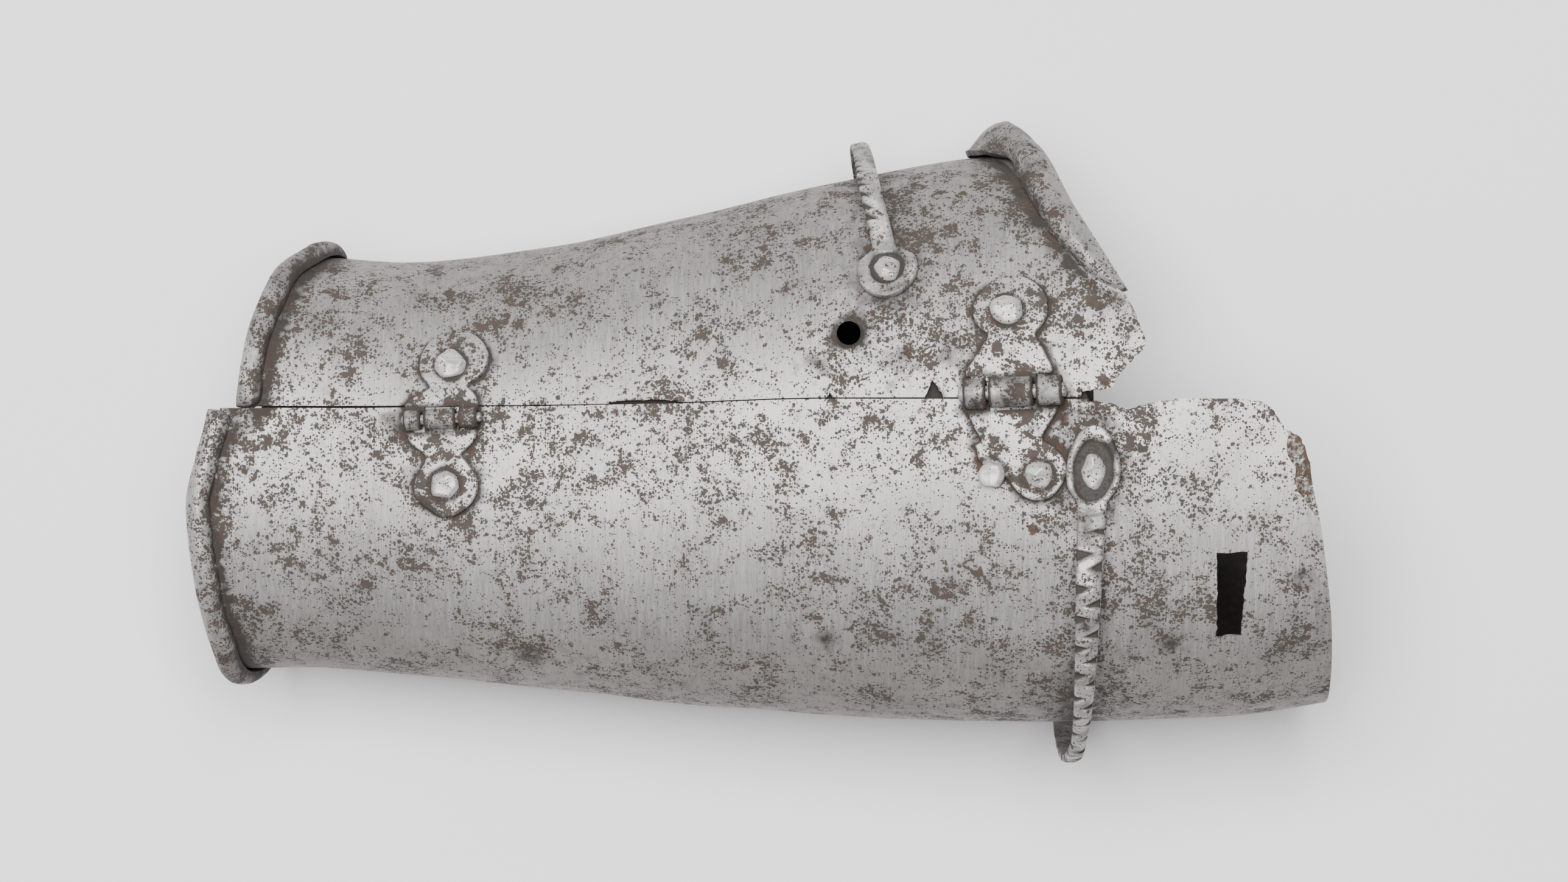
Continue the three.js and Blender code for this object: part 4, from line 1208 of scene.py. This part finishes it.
def aged_steel_group():
    """Brushed steel with clustered pits, haze, tarnish and rust, and dark where it was never polished. The
    stain, tarnish and inside colours also carry painted shade.
    """
    tree = bpy.data.node_groups.new("aged_steel_surface", "ShaderNodeTree")
    for title, kind, default in (
        ("Clean colour", "NodeSocketColor", (0.5, 0.49, 0.47, 1)),
        ("Stain and shade colour", "NodeSocketColor", (0.016, 0.0135, 0.0115, 1)),
        ("Pit colour", "NodeSocketColor", (0.03, 0.024, 0.02, 1)),
        ("Rust colour", "NodeSocketColor", (0.06, 0.032, 0.019, 1)),
        ("Inside colour", "NodeSocketColor", (0.018, 0.0155, 0.0135, 1)),
        ("Pitting", "NodeSocketFloat", 0.5),
        ("Blotches", "NodeSocketFloat", -0.5),
        ("Brushing", "NodeSocketFloat", 1.0),
        ("Metal", "NodeSocketFloat", 0.48),
        ("Rust spots", "NodeSocketFloat", 0.0),
        ("Pit spots", "NodeSocketFloat", 0.0),
    ):
        socket = tree.interface.new_socket(title, in_out="INPUT", socket_type=kind)
        socket.default_value = default
    for title, kind in (("Colour", "NodeSocketColor"), ("Roughness", "NodeSocketFloat"),
                        ("Metallic", "NodeSocketFloat"), ("Height", "NodeSocketFloat")):
        tree.interface.new_socket(title, in_out="OUTPUT", socket_type=kind)
    want = tree.nodes.new("NodeGroupInput").outputs
    out = tree.nodes.new("NodeGroupOutput")
    place = millimetres(tree)
    grain = attribute(tree, "grain", "Vector")
    stretched = node(tree, "ShaderNodeVectorMath", {0: grain, 1: BRUSH_STRETCH}, operation="MULTIPLY")
    streak_place = stretched.outputs[0]
    coarse = noise(tree, streak_place, 1.4, 4.0, 0.6)
    fine = noise(tree, streak_place, 5.0, 3.0, 0.6)
    streaks = plus(tree, times(tree, coarse, 0.5), times(tree, fine, 0.5))
    cloud = noise(tree, place, 0.035)
    patch = noise(tree, place, 0.085, 4.0, 0.6)
    cluster = noise(tree, place, 0.24, 3.0, 0.6)
    stain = noise(tree, place, 0.35, 5.0, 0.65)
    flecks = noise(tree, place, 0.62, 4.0, 0.7)
    crumbs = noise(tree, place, 3.0, 2.0, 0.6)

    clump = times(tree, between(tree, patch, 0.48, 0.62), 0.55)
    knot = between(tree, cluster, 0.47, 0.62)
    spread = plus(tree, times(tree, knot, 0.45), clump, 0.12)
    marked = times(tree, attribute(tree, "pits"), plus(tree, 0.55, times(tree, knot, 0.75)))
    density = field(tree, "ADD", times(tree, want["Pitting"], spread), marked, True)
    small = pit_layer(tree, place, 2.1, plus(tree, times(tree, density, 0.95), 0.05), 0.85,
                      around_zero(tree, crumbs, 1.0))
    large = pit_layer(tree, place, 1.15, plus(tree, times(tree, density, 0.8), -0.03), 0.92,
                      plus(tree, around_zero(tree, crumbs, 1.2), around_zero(tree, flecks, 1.2)))
    blotches = pit_layer(tree, place, 0.4, plus(tree, density, want["Blotches"]), 1.0,
                         plus(tree, around_zero(tree, crumbs, 1.2), around_zero(tree, flecks, 2.4)))
    pits = field(tree, "MAXIMUM", field(tree, "MAXIMUM", small, large), want["Pit spots"])
    pits = field(tree, "MAXIMUM", pits, blotches)

    haze = times(tree, between(tree, density, 0.25, 0.9), between(tree, stain, 0.4, 0.6), 0.34)
    dark = between(tree, plus(tree, attribute(tree, "dark"), around_zero(tree, stain, 1.5)), 0.14, 0.8)
    rust = between(tree, plus(tree, attribute(tree, "rust"), around_zero(tree, flecks, 1.9)), 0.42, 0.66)
    rust = field(tree, "MAXIMUM", rust, want["Rust spots"])
    filed = between(tree, attribute(tree, "cut"), 0.12, 0.7)
    inside = between(tree, plus(tree, attribute(tree, "inside"), around_zero(tree, stain, 0.5)), 0.35, 0.65)

    tone = between(tree, streaks, 0.38, 0.62, 0.78, 1.16)
    cloud_tone = between(tree, cloud, 0.39, 0.61, 0.9, 1.06)
    shade = times(tree, tone, cloud_tone)
    clean = scaled(tree, want["Clean colour"], shade)
    # Darker towards the crests: tarnish together with painted shade.
    clean = mix_colour(tree, attribute(tree, "tarnish_and_crest_shade"), clean, TARNISH_AND_CREST_SHADE, "MULTIPLY")
    # The dark marks are partly stains and partly painted shade in creases, in gaps, under the loops and
    # towards the crests.
    stained_or_shaded = field(tree, "MAXIMUM", times(tree, dark, 0.98), haze)
    colour = mix_colour(tree, stained_or_shaded, clean, want["Stain and shade colour"])
    colour = mix_colour(tree, rust, colour, want["Rust colour"])
    brown = mix_colour(tree, between(tree, cluster, 0.45, 0.6), want["Pit colour"], want["Rust colour"])
    pit_colour = mix_colour(tree, 0.3, want["Pit colour"], brown)
    colour = mix_colour(tree, times(tree, pits, 0.97), colour, pit_colour)
    colour = mix_colour(tree, filed, colour, want["Pit colour"])
    inside_rust = between(tree, flecks, 0.5, 0.64, 0.0, 0.35)
    brown_inside = mix_colour(tree, inside_rust, want["Inside colour"], want["Rust colour"])
    # The unpolished inside is painted near black, standing in for the shade inside the armour as well as its
    # dark patina.
    colour = mix_colour(tree, inside, colour, brown_inside)
    tree.links.new(colour, out.inputs["Colour"])

    dull = field(tree, "MAXIMUM", field(tree, "MAXIMUM", pits, rust), field(tree, "MAXIMUM", filed, inside))
    rough = plus(tree, between(tree, streaks, 0.38, 0.62, 0.45, 0.57), times(tree, dark, 0.24))
    tree.links.new(field(tree, "ADD", rough, times(tree, dull, 0.34), True), out.inputs["Roughness"])
    bare = field(tree, "SUBTRACT", 1.0, field(tree, "MAXIMUM", dull, times(tree, dark, 0.9)), True)
    tree.links.new(times(tree, want["Metal"], bare), out.inputs["Metallic"])
    relief = times(tree, streaks, want["Brushing"], 0.08)
    relief = field(tree, "SUBTRACT", relief, times(tree, pits, 0.11))
    relief = field(tree, "SUBTRACT", relief, times(tree, haze, stain, 0.1))
    relief = plus(tree, relief, times(tree, rust, flecks, 0.3), times(tree, inside, stain, 0.3))
    tree.links.new(relief, out.inputs["Height"])
    return tree


def spots(tree, table):
    """Mask of small stains at places of the photograph, with uneven edges."""
    place = millimetres(tree)
    uneven = around_zero(tree, noise(tree, place, 0.8, 4.0, 0.65), 3.2)
    total = 0.0
    for px, py, radius in zip(*table.values()):
        middle = tuple(from_photo(px, py) + SHIFT)
        off = node(tree, "ShaderNodeVectorMath", {0: place, 1: middle}, operation="DISTANCE").outputs["Value"]
        share = field(tree, "ADD", field(tree, "DIVIDE", off, radius), uneven)
        total = field(tree, "MAXIMUM", total, between(tree, share, 1.1, 0.9))
    return total


def steel_material(context, kind, **values):
    """The steel of one kind of piece: the aged surface, with its own clean colour and other inputs."""
    finish = context.scene.armour_finish
    group = bpy.data.node_groups.get("aged_steel_surface") or aged_steel_group()
    material = bpy.data.materials.new(f"{kind}_steel")
    material.use_nodes = True
    tree = material.node_tree
    shader = tree.nodes["Principled BSDF"]
    inputs = {"Clean colour": (*getattr(finish, f"{kind}_colour"), 1)}
    inputs.update({title.replace("_", " ").capitalize(): value for title, value in values.items()})
    if kind == "plate":
        inputs["Rust spots"] = spots(tree, RUST_SPOTS)
        inputs["Pit spots"] = spots(tree, DEEP_PITS)
    aged = tree.nodes.new("ShaderNodeGroup")
    aged.node_tree = group
    for title, value in inputs.items():
        if isinstance(value, bpy.types.NodeSocket):
            tree.links.new(value, aged.inputs[title])
        else:
            aged.inputs[title].default_value = value
    for given, taken in (("Colour", "Base Color"), ("Roughness", "Roughness"), ("Metallic", "Metallic")):
        tree.links.new(aged.outputs[given], shader.inputs[taken])
    relief = node(tree, "ShaderNodeBump", {
        "Height": aged.outputs["Height"], "Strength": finish.relief, "Distance": MM,
    })
    tree.links.new(relief.outputs["Normal"], shader.inputs["Normal"])
    return material


# Marks on the surfaces, laid where the photograph shows them

def leaf_rim(node_name):
    """Points round a leaf's outline, on the plate."""
    hinge = hinge_of(node_name)
    side = side_of(node_name)
    outline = LEAVES[node_name]
    away = np.linspace(1.0, outline["away"][-1], 60)
    rims = []
    for column in ("left", "right"):
        on = on_axis(hinge, read(outline, "away", column, away))
        rims.append(surface(on[:, 0], turn_at(on[:, 0], on[:, 1] + side * away)))
    return np.concatenate(rims)


def loop_line(loop):
    """Points on the plate under a loop."""
    length, radius = loop_arm(loop)
    s = np.linspace(-loop["eye"], length + loop["eye"], 60)
    turn = loop_turn(loop, s, radius)
    return surface(read(loop["drift"], "turn", "x", turn), turn)


def end_line(end, towards, spec, inboard):
    turn = np.linspace(spec["from"], spec["to"], 60)
    size = roll_size(spec, turn)
    return surface(read(end, "turn", "x", turn) - towards * (spec["width"] * size + inboard), turn)


def seam_line():
    x = np.linspace(-120, 112, 110)
    return surface(x, turn_at(x, read(SEAM, "x", "y", x)))


def outline_line(outline):
    """Points along a cut's outline, on the plate."""
    x, y = np.array(ragged(outline, 0.6, 0.0, 0)).T
    return surface(x, turn_at(x, y))


def hole_line():
    """Points on the plate just outside the round hole."""
    angle = np.linspace(0, 2 * math.pi, 24)
    rim = ROUND_HOLE["radius"] + 0.4
    return hole_middle() + np.column_stack([rim * np.cos(angle), rim * np.sin(angle), 0 * angle])


def cluster_marks(points):
    """Where pits crowd together, charted from the photograph."""
    total = np.zeros(len(points))
    for px, py, radius in zip(*PIT_CLUSTERS.values()):
        np.maximum(total, near(points, from_photo(px, py), radius), out=total)
    return total


# Wear along the plates' lines, where the dark rows round the leaves are painted shade mixed with grime: how
# strong each mark is there and how far off it fades.
LINE_WEAR_AND_SHADE = {
    "line": ("rims", "seam", "broken", "rims", "rims", "rims", "hole", "hole"),
    "mark": ("rust", "rust", "rust", "pits", "dark", "dark", "rust", "dark"),
    "strength": (0.45, 0.2, 0.5, 0.3, 0.35, 0.7, 0.55, 0.8),
    "radius": (1.0, 0.8, 0.7, 3.2, 2.2, 0.8, 0.9, 1.1),
}
# Along the plate under each loop: pits, rust, and a dark band that is painted shade under the bar, with
# grime.
LOOP_WEAR_AND_SHADE = {
    "mark": ("pits", "dark", "rust"),
    "strength": (0.5, 0.35, 0.2),
    "radius": (6.5, 5.0, 3.5),
}
# A dark halo on the plate round each loop eye: a stain with painted shadow.
EYE_STAIN_AND_SHADE = {"strength": 0.8, "outset": 2.4}
ROLL_WEAR = {
    "name": ("outer_wrist", "inner_wrist", "inner_elbow"),
    "end": (OUTER_WRIST, INNER_WRIST, INNER_ELBOW),
    "towards": (-1, -1, 1),
    "grime": (0.16, 0.42, 0.16),
}
PATCH_STRENGTH = 0.6
FLAKE_REACH = 13


def add_wear_and_shade(marks, points, line, row):
    """Adds one row of wear, or of painted shade, along a line of points."""
    marks[row["mark"]] += row["strength"] * near(points, line, row["radius"])


def mark_lines(marks, points, on_inner):
    """Wear round the leaves, the seam, the broken edges, the hole and the strap loops, with painted shade
    round the leaves, under the loops and round their eyes.
    """
    cuts = (BROKEN_INNER_CORNER, BROKEN_OUTER_EDGE, BROKEN_OUTER_CORNER, SLOT) + EDGE_TEARS
    lines = {
        "rims": np.concatenate([leaf_rim(name) for name in LEAVES]),
        "seam": seam_line(),
        "broken": np.concatenate([outline_line(outline) for outline in cuts]),
        "hole": hole_line(),
    }
    for row in rows_of(LINE_WEAR_AND_SHADE):
        if row["line"] != "hole" or on_inner:
            add_wear_and_shade(marks, points, lines[row["line"]], row)
    for loop in LOOPS.values():
        line = loop_line(loop)
        for row in rows_of(LOOP_WEAR_AND_SHADE):
            add_wear_and_shade(marks, points, line, row)
        eye = surface(read(loop["drift"], "turn", "x", loop["eye_turn"]), loop["eye_turn"])
        # Dark halo round the eye: stain and painted shadow.
        marks["dark"] += EYE_STAIN_AND_SHADE["strength"] * near(points, eye, loop["eye"] + EYE_STAIN_AND_SHADE["outset"])


def mark_rolls(marks, points):
    """Painted shade with dirt in the creases beside the rolls, dirt in blotches on them, and a clean, bright
    elbow crest.
    """
    blotches = ripple(points, 9, 91)
    scallops = ripple(points, 5, 93)
    for row in rows_of(ROLL_WEAR):
        spec = ROLLS[row["name"]]
        end, towards = row["end"], row["towards"]
        crease = end_line(end, towards, spec, 0.3)
        marks["pits"] += 0.5 * near(points, crease, 4.4)
        marks["rust"] += 0.35 * near(points, end_line(end, towards, spec, 0.1), 1.2)
        # Dark line where the roll rises from the plate: painted shade in the crease, with dirt.
        marks["dark"] += (0.7 + 0.35 * scallops) * near(points, crease, 2.0) + 0.2 * near(points, crease, 4.5)
        on_roll = near(points, end_line(end, towards, spec, -spec["width"] / 2), spec["width"] * 0.8)
        marks["pits"] += on_roll * (0.12 + 0.2 * blotches)
        marks["dark"] += on_roll * (row["grime"] + 0.4 * blotches)
        if row["name"] == "inner_elbow":
            crest = end_line(end, towards, spec, -spec["width"] * 0.6)
            bright = 1 - 0.85 * smooth_step(0.25, 0.6, near(points, crest, 4.2))
            for values in marks.values():
                values *= bright


def mark_plate(made):
    """Stores where a plate is rusty, pitted, dark, tarnished and never polished. The dark, tarnish and inside
    marks also carry painted shade in creases, beside and under other parts, towards the crests and inside.
    """
    points = mesh_points(made)
    on_inner = side_of(made.name) > 0
    turn = turn_of(points)
    set_grain(made, points[:, 0], np.radians(turn) * ARM_RADIUS)
    side = np.abs(turn - 90)
    marks = {
        "rust": np.zeros(len(points)),
        "pits": 0.55 * cluster_marks(points) + 0.12 * smooth_step(40, 75, side),
        # Darker towards the crests: painted shade where the plates turn away from the light, with some
        # patina.
        "dark": 0.18 * smooth_step(30, 80, side),
    }
    mark_lines(marks, points, on_inner)
    mark_rolls(marks, points)
    for table, title in ((BROWN_PATCHES, "rust"), (DARK_PATCHES, "dark")):
        for px, py, radius in zip(*table.values()):
            marks[title] += PATCH_STRENGTH * near(points, from_photo(px, py), radius)
    outside_x = np.clip(points[:, 0], -121, 115)
    deep = -((points - surface(outside_x, turn)) * normal(outside_x, turn)).sum(axis=1)
    if on_inner:
        deep = deep - lap_depth(turn)
    flaked = smooth_step(0.2, 0.4, deep) * near(points, from_photo(*FLAKE_MIDDLE), FLAKE_REACH)
    set_mark(made, "rust", marks["rust"] + 0.62 * flaked)
    set_mark(made, "pits", marks["pits"] + 0.3 * flaked)
    # What lies deeper than the plate, mostly the flange under the inner plate's edge, is painted dark as
    # shade.
    set_mark(made, "dark", marks["dark"] + smooth_step(1.5, 1.9, deep))
    # Tarnish and painted shade, growing towards both crests.
    set_mark(made, "tarnish_and_crest_shade", smooth_step(112, 168, turn) + 0.7 * smooth_step(-65, -10, -turn))
    # The unpolished inside, which the material also paints near black as the shade inside the armour.
    set_mark(made, "inside", smooth_step(0.8, 1.15, deep))


def mark_piece(made, pits=0.2, rust=0.0, dark=0.1):
    """Marks on a small piece, even or one for each point. Marks that it has already are kept."""
    points = mesh_points(made)
    set_grain(made, points[:, 1], points[:, 0])
    for title, values in (("pits", pits), ("rust", rust), ("dark", dark)):
        if title not in made.data.attributes:
            set_mark(made, title, np.broadcast_to(values, len(points)))


def rivet_seat(spec):
    """Where a hinge rivet's head sits: along the arm, round it and over it."""
    hinge = hinge_of(spec["node"])
    on = on_axis(hinge, np.array(spec["along"]))
    turn = turn_at(on[0], on[1] + side_of(spec["node"]) * spec["away"])
    return on[0], turn, GAP + hinge["leaf"]


def rivet_places(node_name):
    """Feet of the rivets that pass through a leaf."""
    places = []
    for spec in rows_of(HINGE_RIVETS):
        if spec["node"].startswith(node_name.replace("_leaf", "")):
            x, turn, lift = rivet_seat(spec)
            places.append(over(x, turn, np.array(lift)))
    return np.array(places)


def mark_leaf(made, node_name):
    """Dark rings round the rivets, and painted shade with rust beside the barrel and in the gaps between the
    knuckles.
    """
    points = mesh_points(made)
    hinge = hinge_of(node_name)
    gap = np.min([np.linalg.norm(points - place, axis=1) for place in rivet_places(node_name)], axis=0)
    ring = np.exp(-((gap - 3.3) / 0.7) ** 2)
    off = points - np.array(hinge["at"])
    from_axis = np.linalg.norm(off - (off @ AXIS)[:, None] * AXIS, axis=1)
    # Painted shade, with rust, in the crease beside the barrel.
    crease = np.exp(-((from_axis - hinge["barrel"] - 0.7) / 0.9) ** 2)
    # Painted shade, with rust, in the gaps at the knuckles' ends.
    ends = np.array(hinge["inner_knuckles"] + hinge["outer_knuckles"]).ravel()
    from_end = np.abs((off @ AXIS)[:, None] - ends[None, :]).min(axis=1)
    slots = np.exp(-(from_end / 0.4) ** 2) * (from_axis < hinge["barrel"] + 0.6)
    chips = [from_photo(px, py) + (0, 0, GAP + hinge["leaf"]) for px, py in zip(*CHIPPED_RIM.values())]
    chipped = near(points, chips, 1.0)
    blotches = ripple(points, 7, 92)
    mark_piece(
        made, pits=0.48 + 0.3 * blotches + 0.3 * ring + chipped,
        rust=0.3 * crease + 0.2 * ring + 0.35 * slots,
        dark=0.1 + 0.15 * blotches + 0.8 * ring + 0.7 * crease + 1.0 * slots + chipped,
    )


# Settings, operators and panel

class ArmourFinish(bpy.types.PropertyGroup):
    plate_colour: FloatVectorProperty(
        name="Plate colour", description="Clean brushed steel of the two plates",
        subtype="COLOR", size=3, min=0, max=1, default=(0.33, 0.32, 0.308))
    hinge_colour: FloatVectorProperty(
        name="Hinge colour", description="Clean steel of the hinges",
        subtype="COLOR", size=3, min=0, max=1, default=(0.35, 0.338, 0.324))
    loop_colour: FloatVectorProperty(
        name="Loop colour", description="Clean steel of the strap loops",
        subtype="COLOR", size=3, min=0, max=1, default=(0.36, 0.35, 0.337))
    rivet_colour: FloatVectorProperty(
        name="Rivet colour", description="Hammered rivet heads",
        subtype="COLOR", size=3, min=0, max=1, default=(0.5, 0.488, 0.472))
    relief: FloatProperty(
        name="Relief", description="How strongly brush marks and pits show in the light",
        min=0, max=2, default=0.7)


class ArmourSizes(bpy.types.PropertyGroup):
    rivet_height: FloatProperty(
        name="Rivet height", description="How high a rivet's head stands",
        unit="LENGTH", min=0, default=RIVET_HEAD_HEIGHT * MM)
    notch_depth: FloatProperty(
        name="Notch depth", description="How deep the wedges are filed into the strap loops, as a share",
        subtype="FACTOR", min=0, max=1.2, default=1.0)
    blow_seed: IntProperty(
        name="Hammer seed", description="Which set of hammer blows shows on the rivets", default=5)


def settle(made, material, body, slot, *nodes):
    """Gives a finished piece its material and its body, and hides the nodes that it stands for. Its slot is
    not used.
    """
    made.data.materials.clear()
    made.data.materials.append(material)
    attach(made, body)
    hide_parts(*nodes)


class ARMOUR_OT_plates(bpy.types.Operator):
    """Builds the two plates with their turned edges, tears, slot and hole"""
    bl_idname = "armour.plates"
    bl_label = "Build plates"

    def execute(self, context):
        material = steel_material(context, "plate", pitting=0.75)
        for build, body, node_name in ((build_outer_plate, "outer_half", "outer_plate"),
                                       (build_inner_plate, "inner_half", "inner_plate")):
            made = build()
            smooth(made)
            mark_plate(made)
            settle(made, material, body, "plate_steel", node_name)
        return {"FINISHED"}


class ARMOUR_OT_hinges(bpy.types.Operator):
    """Builds the four hinge leaves and their two pins"""
    bl_idname = "armour.hinges"
    bl_label = "Build hinges"

    def execute(self, context):
        material = steel_material(context, "hinge", pitting=0.5, brushing=0.5, blotches=-0.1)
        for node_name in LEAVES:
            made = build_leaf(node_name)
            smooth(made)
            mark_leaf(made, node_name)
            body = "inner_half" if "inner" in node_name else "outer_half"
            settle(made, material, body, "hinge_steel", node_name)
        for node_name in ("small_hinge_pin", "large_hinge_pin"):
            made = build_pin(node_name)
            smooth(made)
            mark_piece(made)
            settle(made, material, "outer_half", "hinge_steel", node_name)
        return {"FINISHED"}


class ARMOUR_OT_loops(bpy.types.Operator):
    """Builds the two notched strap loops"""
    bl_idname = "armour.loops"
    bl_label = "Build strap loops"

    def execute(self, context):
        material = steel_material(context, "loop", pitting=0.45, brushing=0.3)
        tree = notch_tree()
        for side, loop in LOOPS.items():
            made = build_loop_body(f"dressed_{side}_strap_loop", loop)
            depth = context.scene.armour_sizes.notch_depth * loop["notches"]["Depth"]
            apply_tree(made, tree, {**loop["notches"], "Depth": depth, "Material": material})
            smooth(made, 50)
            mark_piece(made)
            settle(made, material, f"{side}_half", "loop_steel", f"{side}_strap_loop")
        return {"FINISHED"}


def hinge_rivets_on(side):
    return [spec for spec in rows_of(HINGE_RIVETS) if side in spec["node"]]


def rivet_rows(side):
    """Rivet heads on one half: where each sits, and its two half widths."""
    rows = []
    for spec in hinge_rivets_on(side):
        rows.append((*rivet_seat(spec), (spec["head"], spec["head"] * HEAD_OVAL)))
    loop = LOOPS[side]
    for turn in (loop["eye_turn"], loop["far_turn"]):
        x = float(read(loop["drift"], "turn", "x", turn))
        rows.append((x, turn, LOOP_RIVET_LIFT, loop["head"]))
    return rows


def rivet_points(name, side):
    """A point for each rivet's head and tail, with the way it faces and its size."""
    height = bpy.context.scene.armour_sizes.rivet_height / MM
    tail = (RIVET_TAIL["radius"], RIVET_TAIL["radius"], RIVET_TAIL["height"])
    places, ups, sizes = [], [], []
    for x, turn, lift, (wide, long) in rivet_rows(side):
        up = normal(x, turn)
        lap = float(lap_depth(turn)) if side == "inner" else 0
        places += [over(x, turn, np.array(lift)), over(x, turn, np.array(-PLATE - lap))]
        ups += [up, -up]
        sizes += [(wide, long, height), tail]
    made = add_mesh(name, places, [])
    for title, values, unit in (("up", ups, 1), ("size", sizes, MM)):
        add_layer(made.data, title, "FLOAT_VECTOR", np.array(values, np.float32) * unit)
    return made


class ARMOUR_OT_rivets(bpy.types.Operator):
    """Builds the hammered rivets of the hinges and strap loops"""
    bl_idname = "armour.rivets"
    bl_label = "Build rivets"

    def execute(self, context):
        material = steel_material(context, "rivet", pitting=0.12, brushing=0.2)
        tree = rivet_tree()
        for side in ("outer", "inner"):
            made = rivet_points(f"dressed_{side}_rivets", side)
            apply_tree(made, tree, {"Seed": context.scene.armour_sizes.blow_seed, "Material": material})
            mark_piece(made)
            nodes = [spec["node"] for spec in hinge_rivets_on(side)]
            nodes += [f"{side}_loop_rivet_1", f"{side}_loop_rivet_2"]
            settle(made, material, f"{side}_half", "rivet_steel", *nodes)
        return {"FINISHED"}


FLOOR_HALF = 3.0
PAPER_COLOUR = (0.83, 0.808, 0.812, 1)
PAPER_ROUGHNESS = 0.9
LIGHTS = {
    "title": ("overhead_light", "side_light"),
    "place": ((-0.1, 0.25, 1.7), (-1.3, 0.6, 0.9)),
    "width": (0.9, 0.9),
    "power": (76.0, 6.0),
}
SKY_COLOUR = (0.92, 0.93, 0.96, 1)
SKY_STRENGTH = 0.12
SENSOR_WIDTH = 36.0


class ARMOUR_OT_stage(bpy.types.Operator):
    """Lays the pale floor and sets the soft lights and the camera"""
    bl_idname = "armour.stage"
    bl_label = "Set the stage"

    def execute(self, context):
        self.add_floor()
        self.add_lights()
        self.add_camera()
        return {"FINISHED"}

    def add_floor(self):
        corners = [(x * FLOOR_HALF, y * FLOOR_HALF, 0) for x, y in ((-1, -1), (1, -1), (1, 1), (-1, 1))]
        mesh = bpy.data.meshes.new("floor")
        mesh.from_pydata(corners, [], [(0, 1, 2, 3)])
        paper = bpy.data.materials.new("floor_paper")
        paper.use_nodes = True
        shader = paper.node_tree.nodes["Principled BSDF"]
        shader.inputs["Base Color"].default_value = PAPER_COLOUR
        shader.inputs["Roughness"].default_value = PAPER_ROUGHNESS
        mesh.materials.append(paper)
        floor = add_object("floor", mesh)

    def add_lights(self):
        for row in rows_of(LIGHTS):
            lamp = bpy.data.lights.new(row["title"], "AREA")
            lamp.shape = "SQUARE"
            lamp.size = row["width"]
            lamp.energy = row["power"]
            made = add_object(row["title"], lamp)
            made.location = row["place"]
            made.rotation_euler = (-Vector(row["place"])).to_track_quat("-Z", "Y").to_euler()
        world = bpy.context.scene.world or bpy.data.worlds.new("studio")
        bpy.context.scene.world = world
        world.use_nodes = True
        background = world.node_tree.nodes["Background"]
        background.inputs["Color"].default_value = SKY_COLOUR
        background.inputs["Strength"].default_value = SKY_STRENGTH

    def add_camera(self):
        data = bpy.data.cameras.new("camera")
        data.sensor_width = SENSOR_WIDTH
        distance = CAMERA_HEIGHT - PLANE_HEIGHT
        data.lens = SENSOR_WIDTH * distance / (MM_PER_PIXEL * PHOTO_WIDTH)
        made = add_object("camera", data)
        made.location = (SHIFT[0] * MM, SHIFT[1] * MM, CAMERA_HEIGHT * MM)
        bpy.context.scene.camera = made


class ARMOUR_PT_panel(bpy.types.Panel):
    bl_label = "Forearm armour"
    bl_space_type = "VIEW_3D"
    bl_region_type = "UI"
    bl_category = "Armour"

    def draw(self, context):
        for group in (context.scene.armour_sizes, context.scene.armour_finish):
            for name in group.bl_rna.properties.keys():
                if name not in ("rna_type", "name"):
                    self.layout.prop(group, name)
        for operator in OPERATORS:
            self.layout.operator(operator.bl_idname)


OPERATORS = (ARMOUR_OT_plates, ARMOUR_OT_hinges, ARMOUR_OT_loops, ARMOUR_OT_rivets, ARMOUR_OT_stage)
CLASSES = (ArmourFinish, ArmourSizes, *OPERATORS, ARMOUR_PT_panel)


def register():
    for item in CLASSES:
        bpy.utils.register_class(item)
    bpy.types.Scene.armour_finish = PointerProperty(type=ArmourFinish)
    bpy.types.Scene.armour_sizes = PointerProperty(type=ArmourSizes)


def unregister():
    del bpy.types.Scene.armour_sizes
    del bpy.types.Scene.armour_finish
    for item in reversed(CLASSES):
        bpy.utils.unregister_class(item)


def main():
    register()
    for step in ("plates", "hinges", "loops", "rivets", "stage"):
        getattr(bpy.ops.armour, step)()


if __name__ == "__main__":
    main()
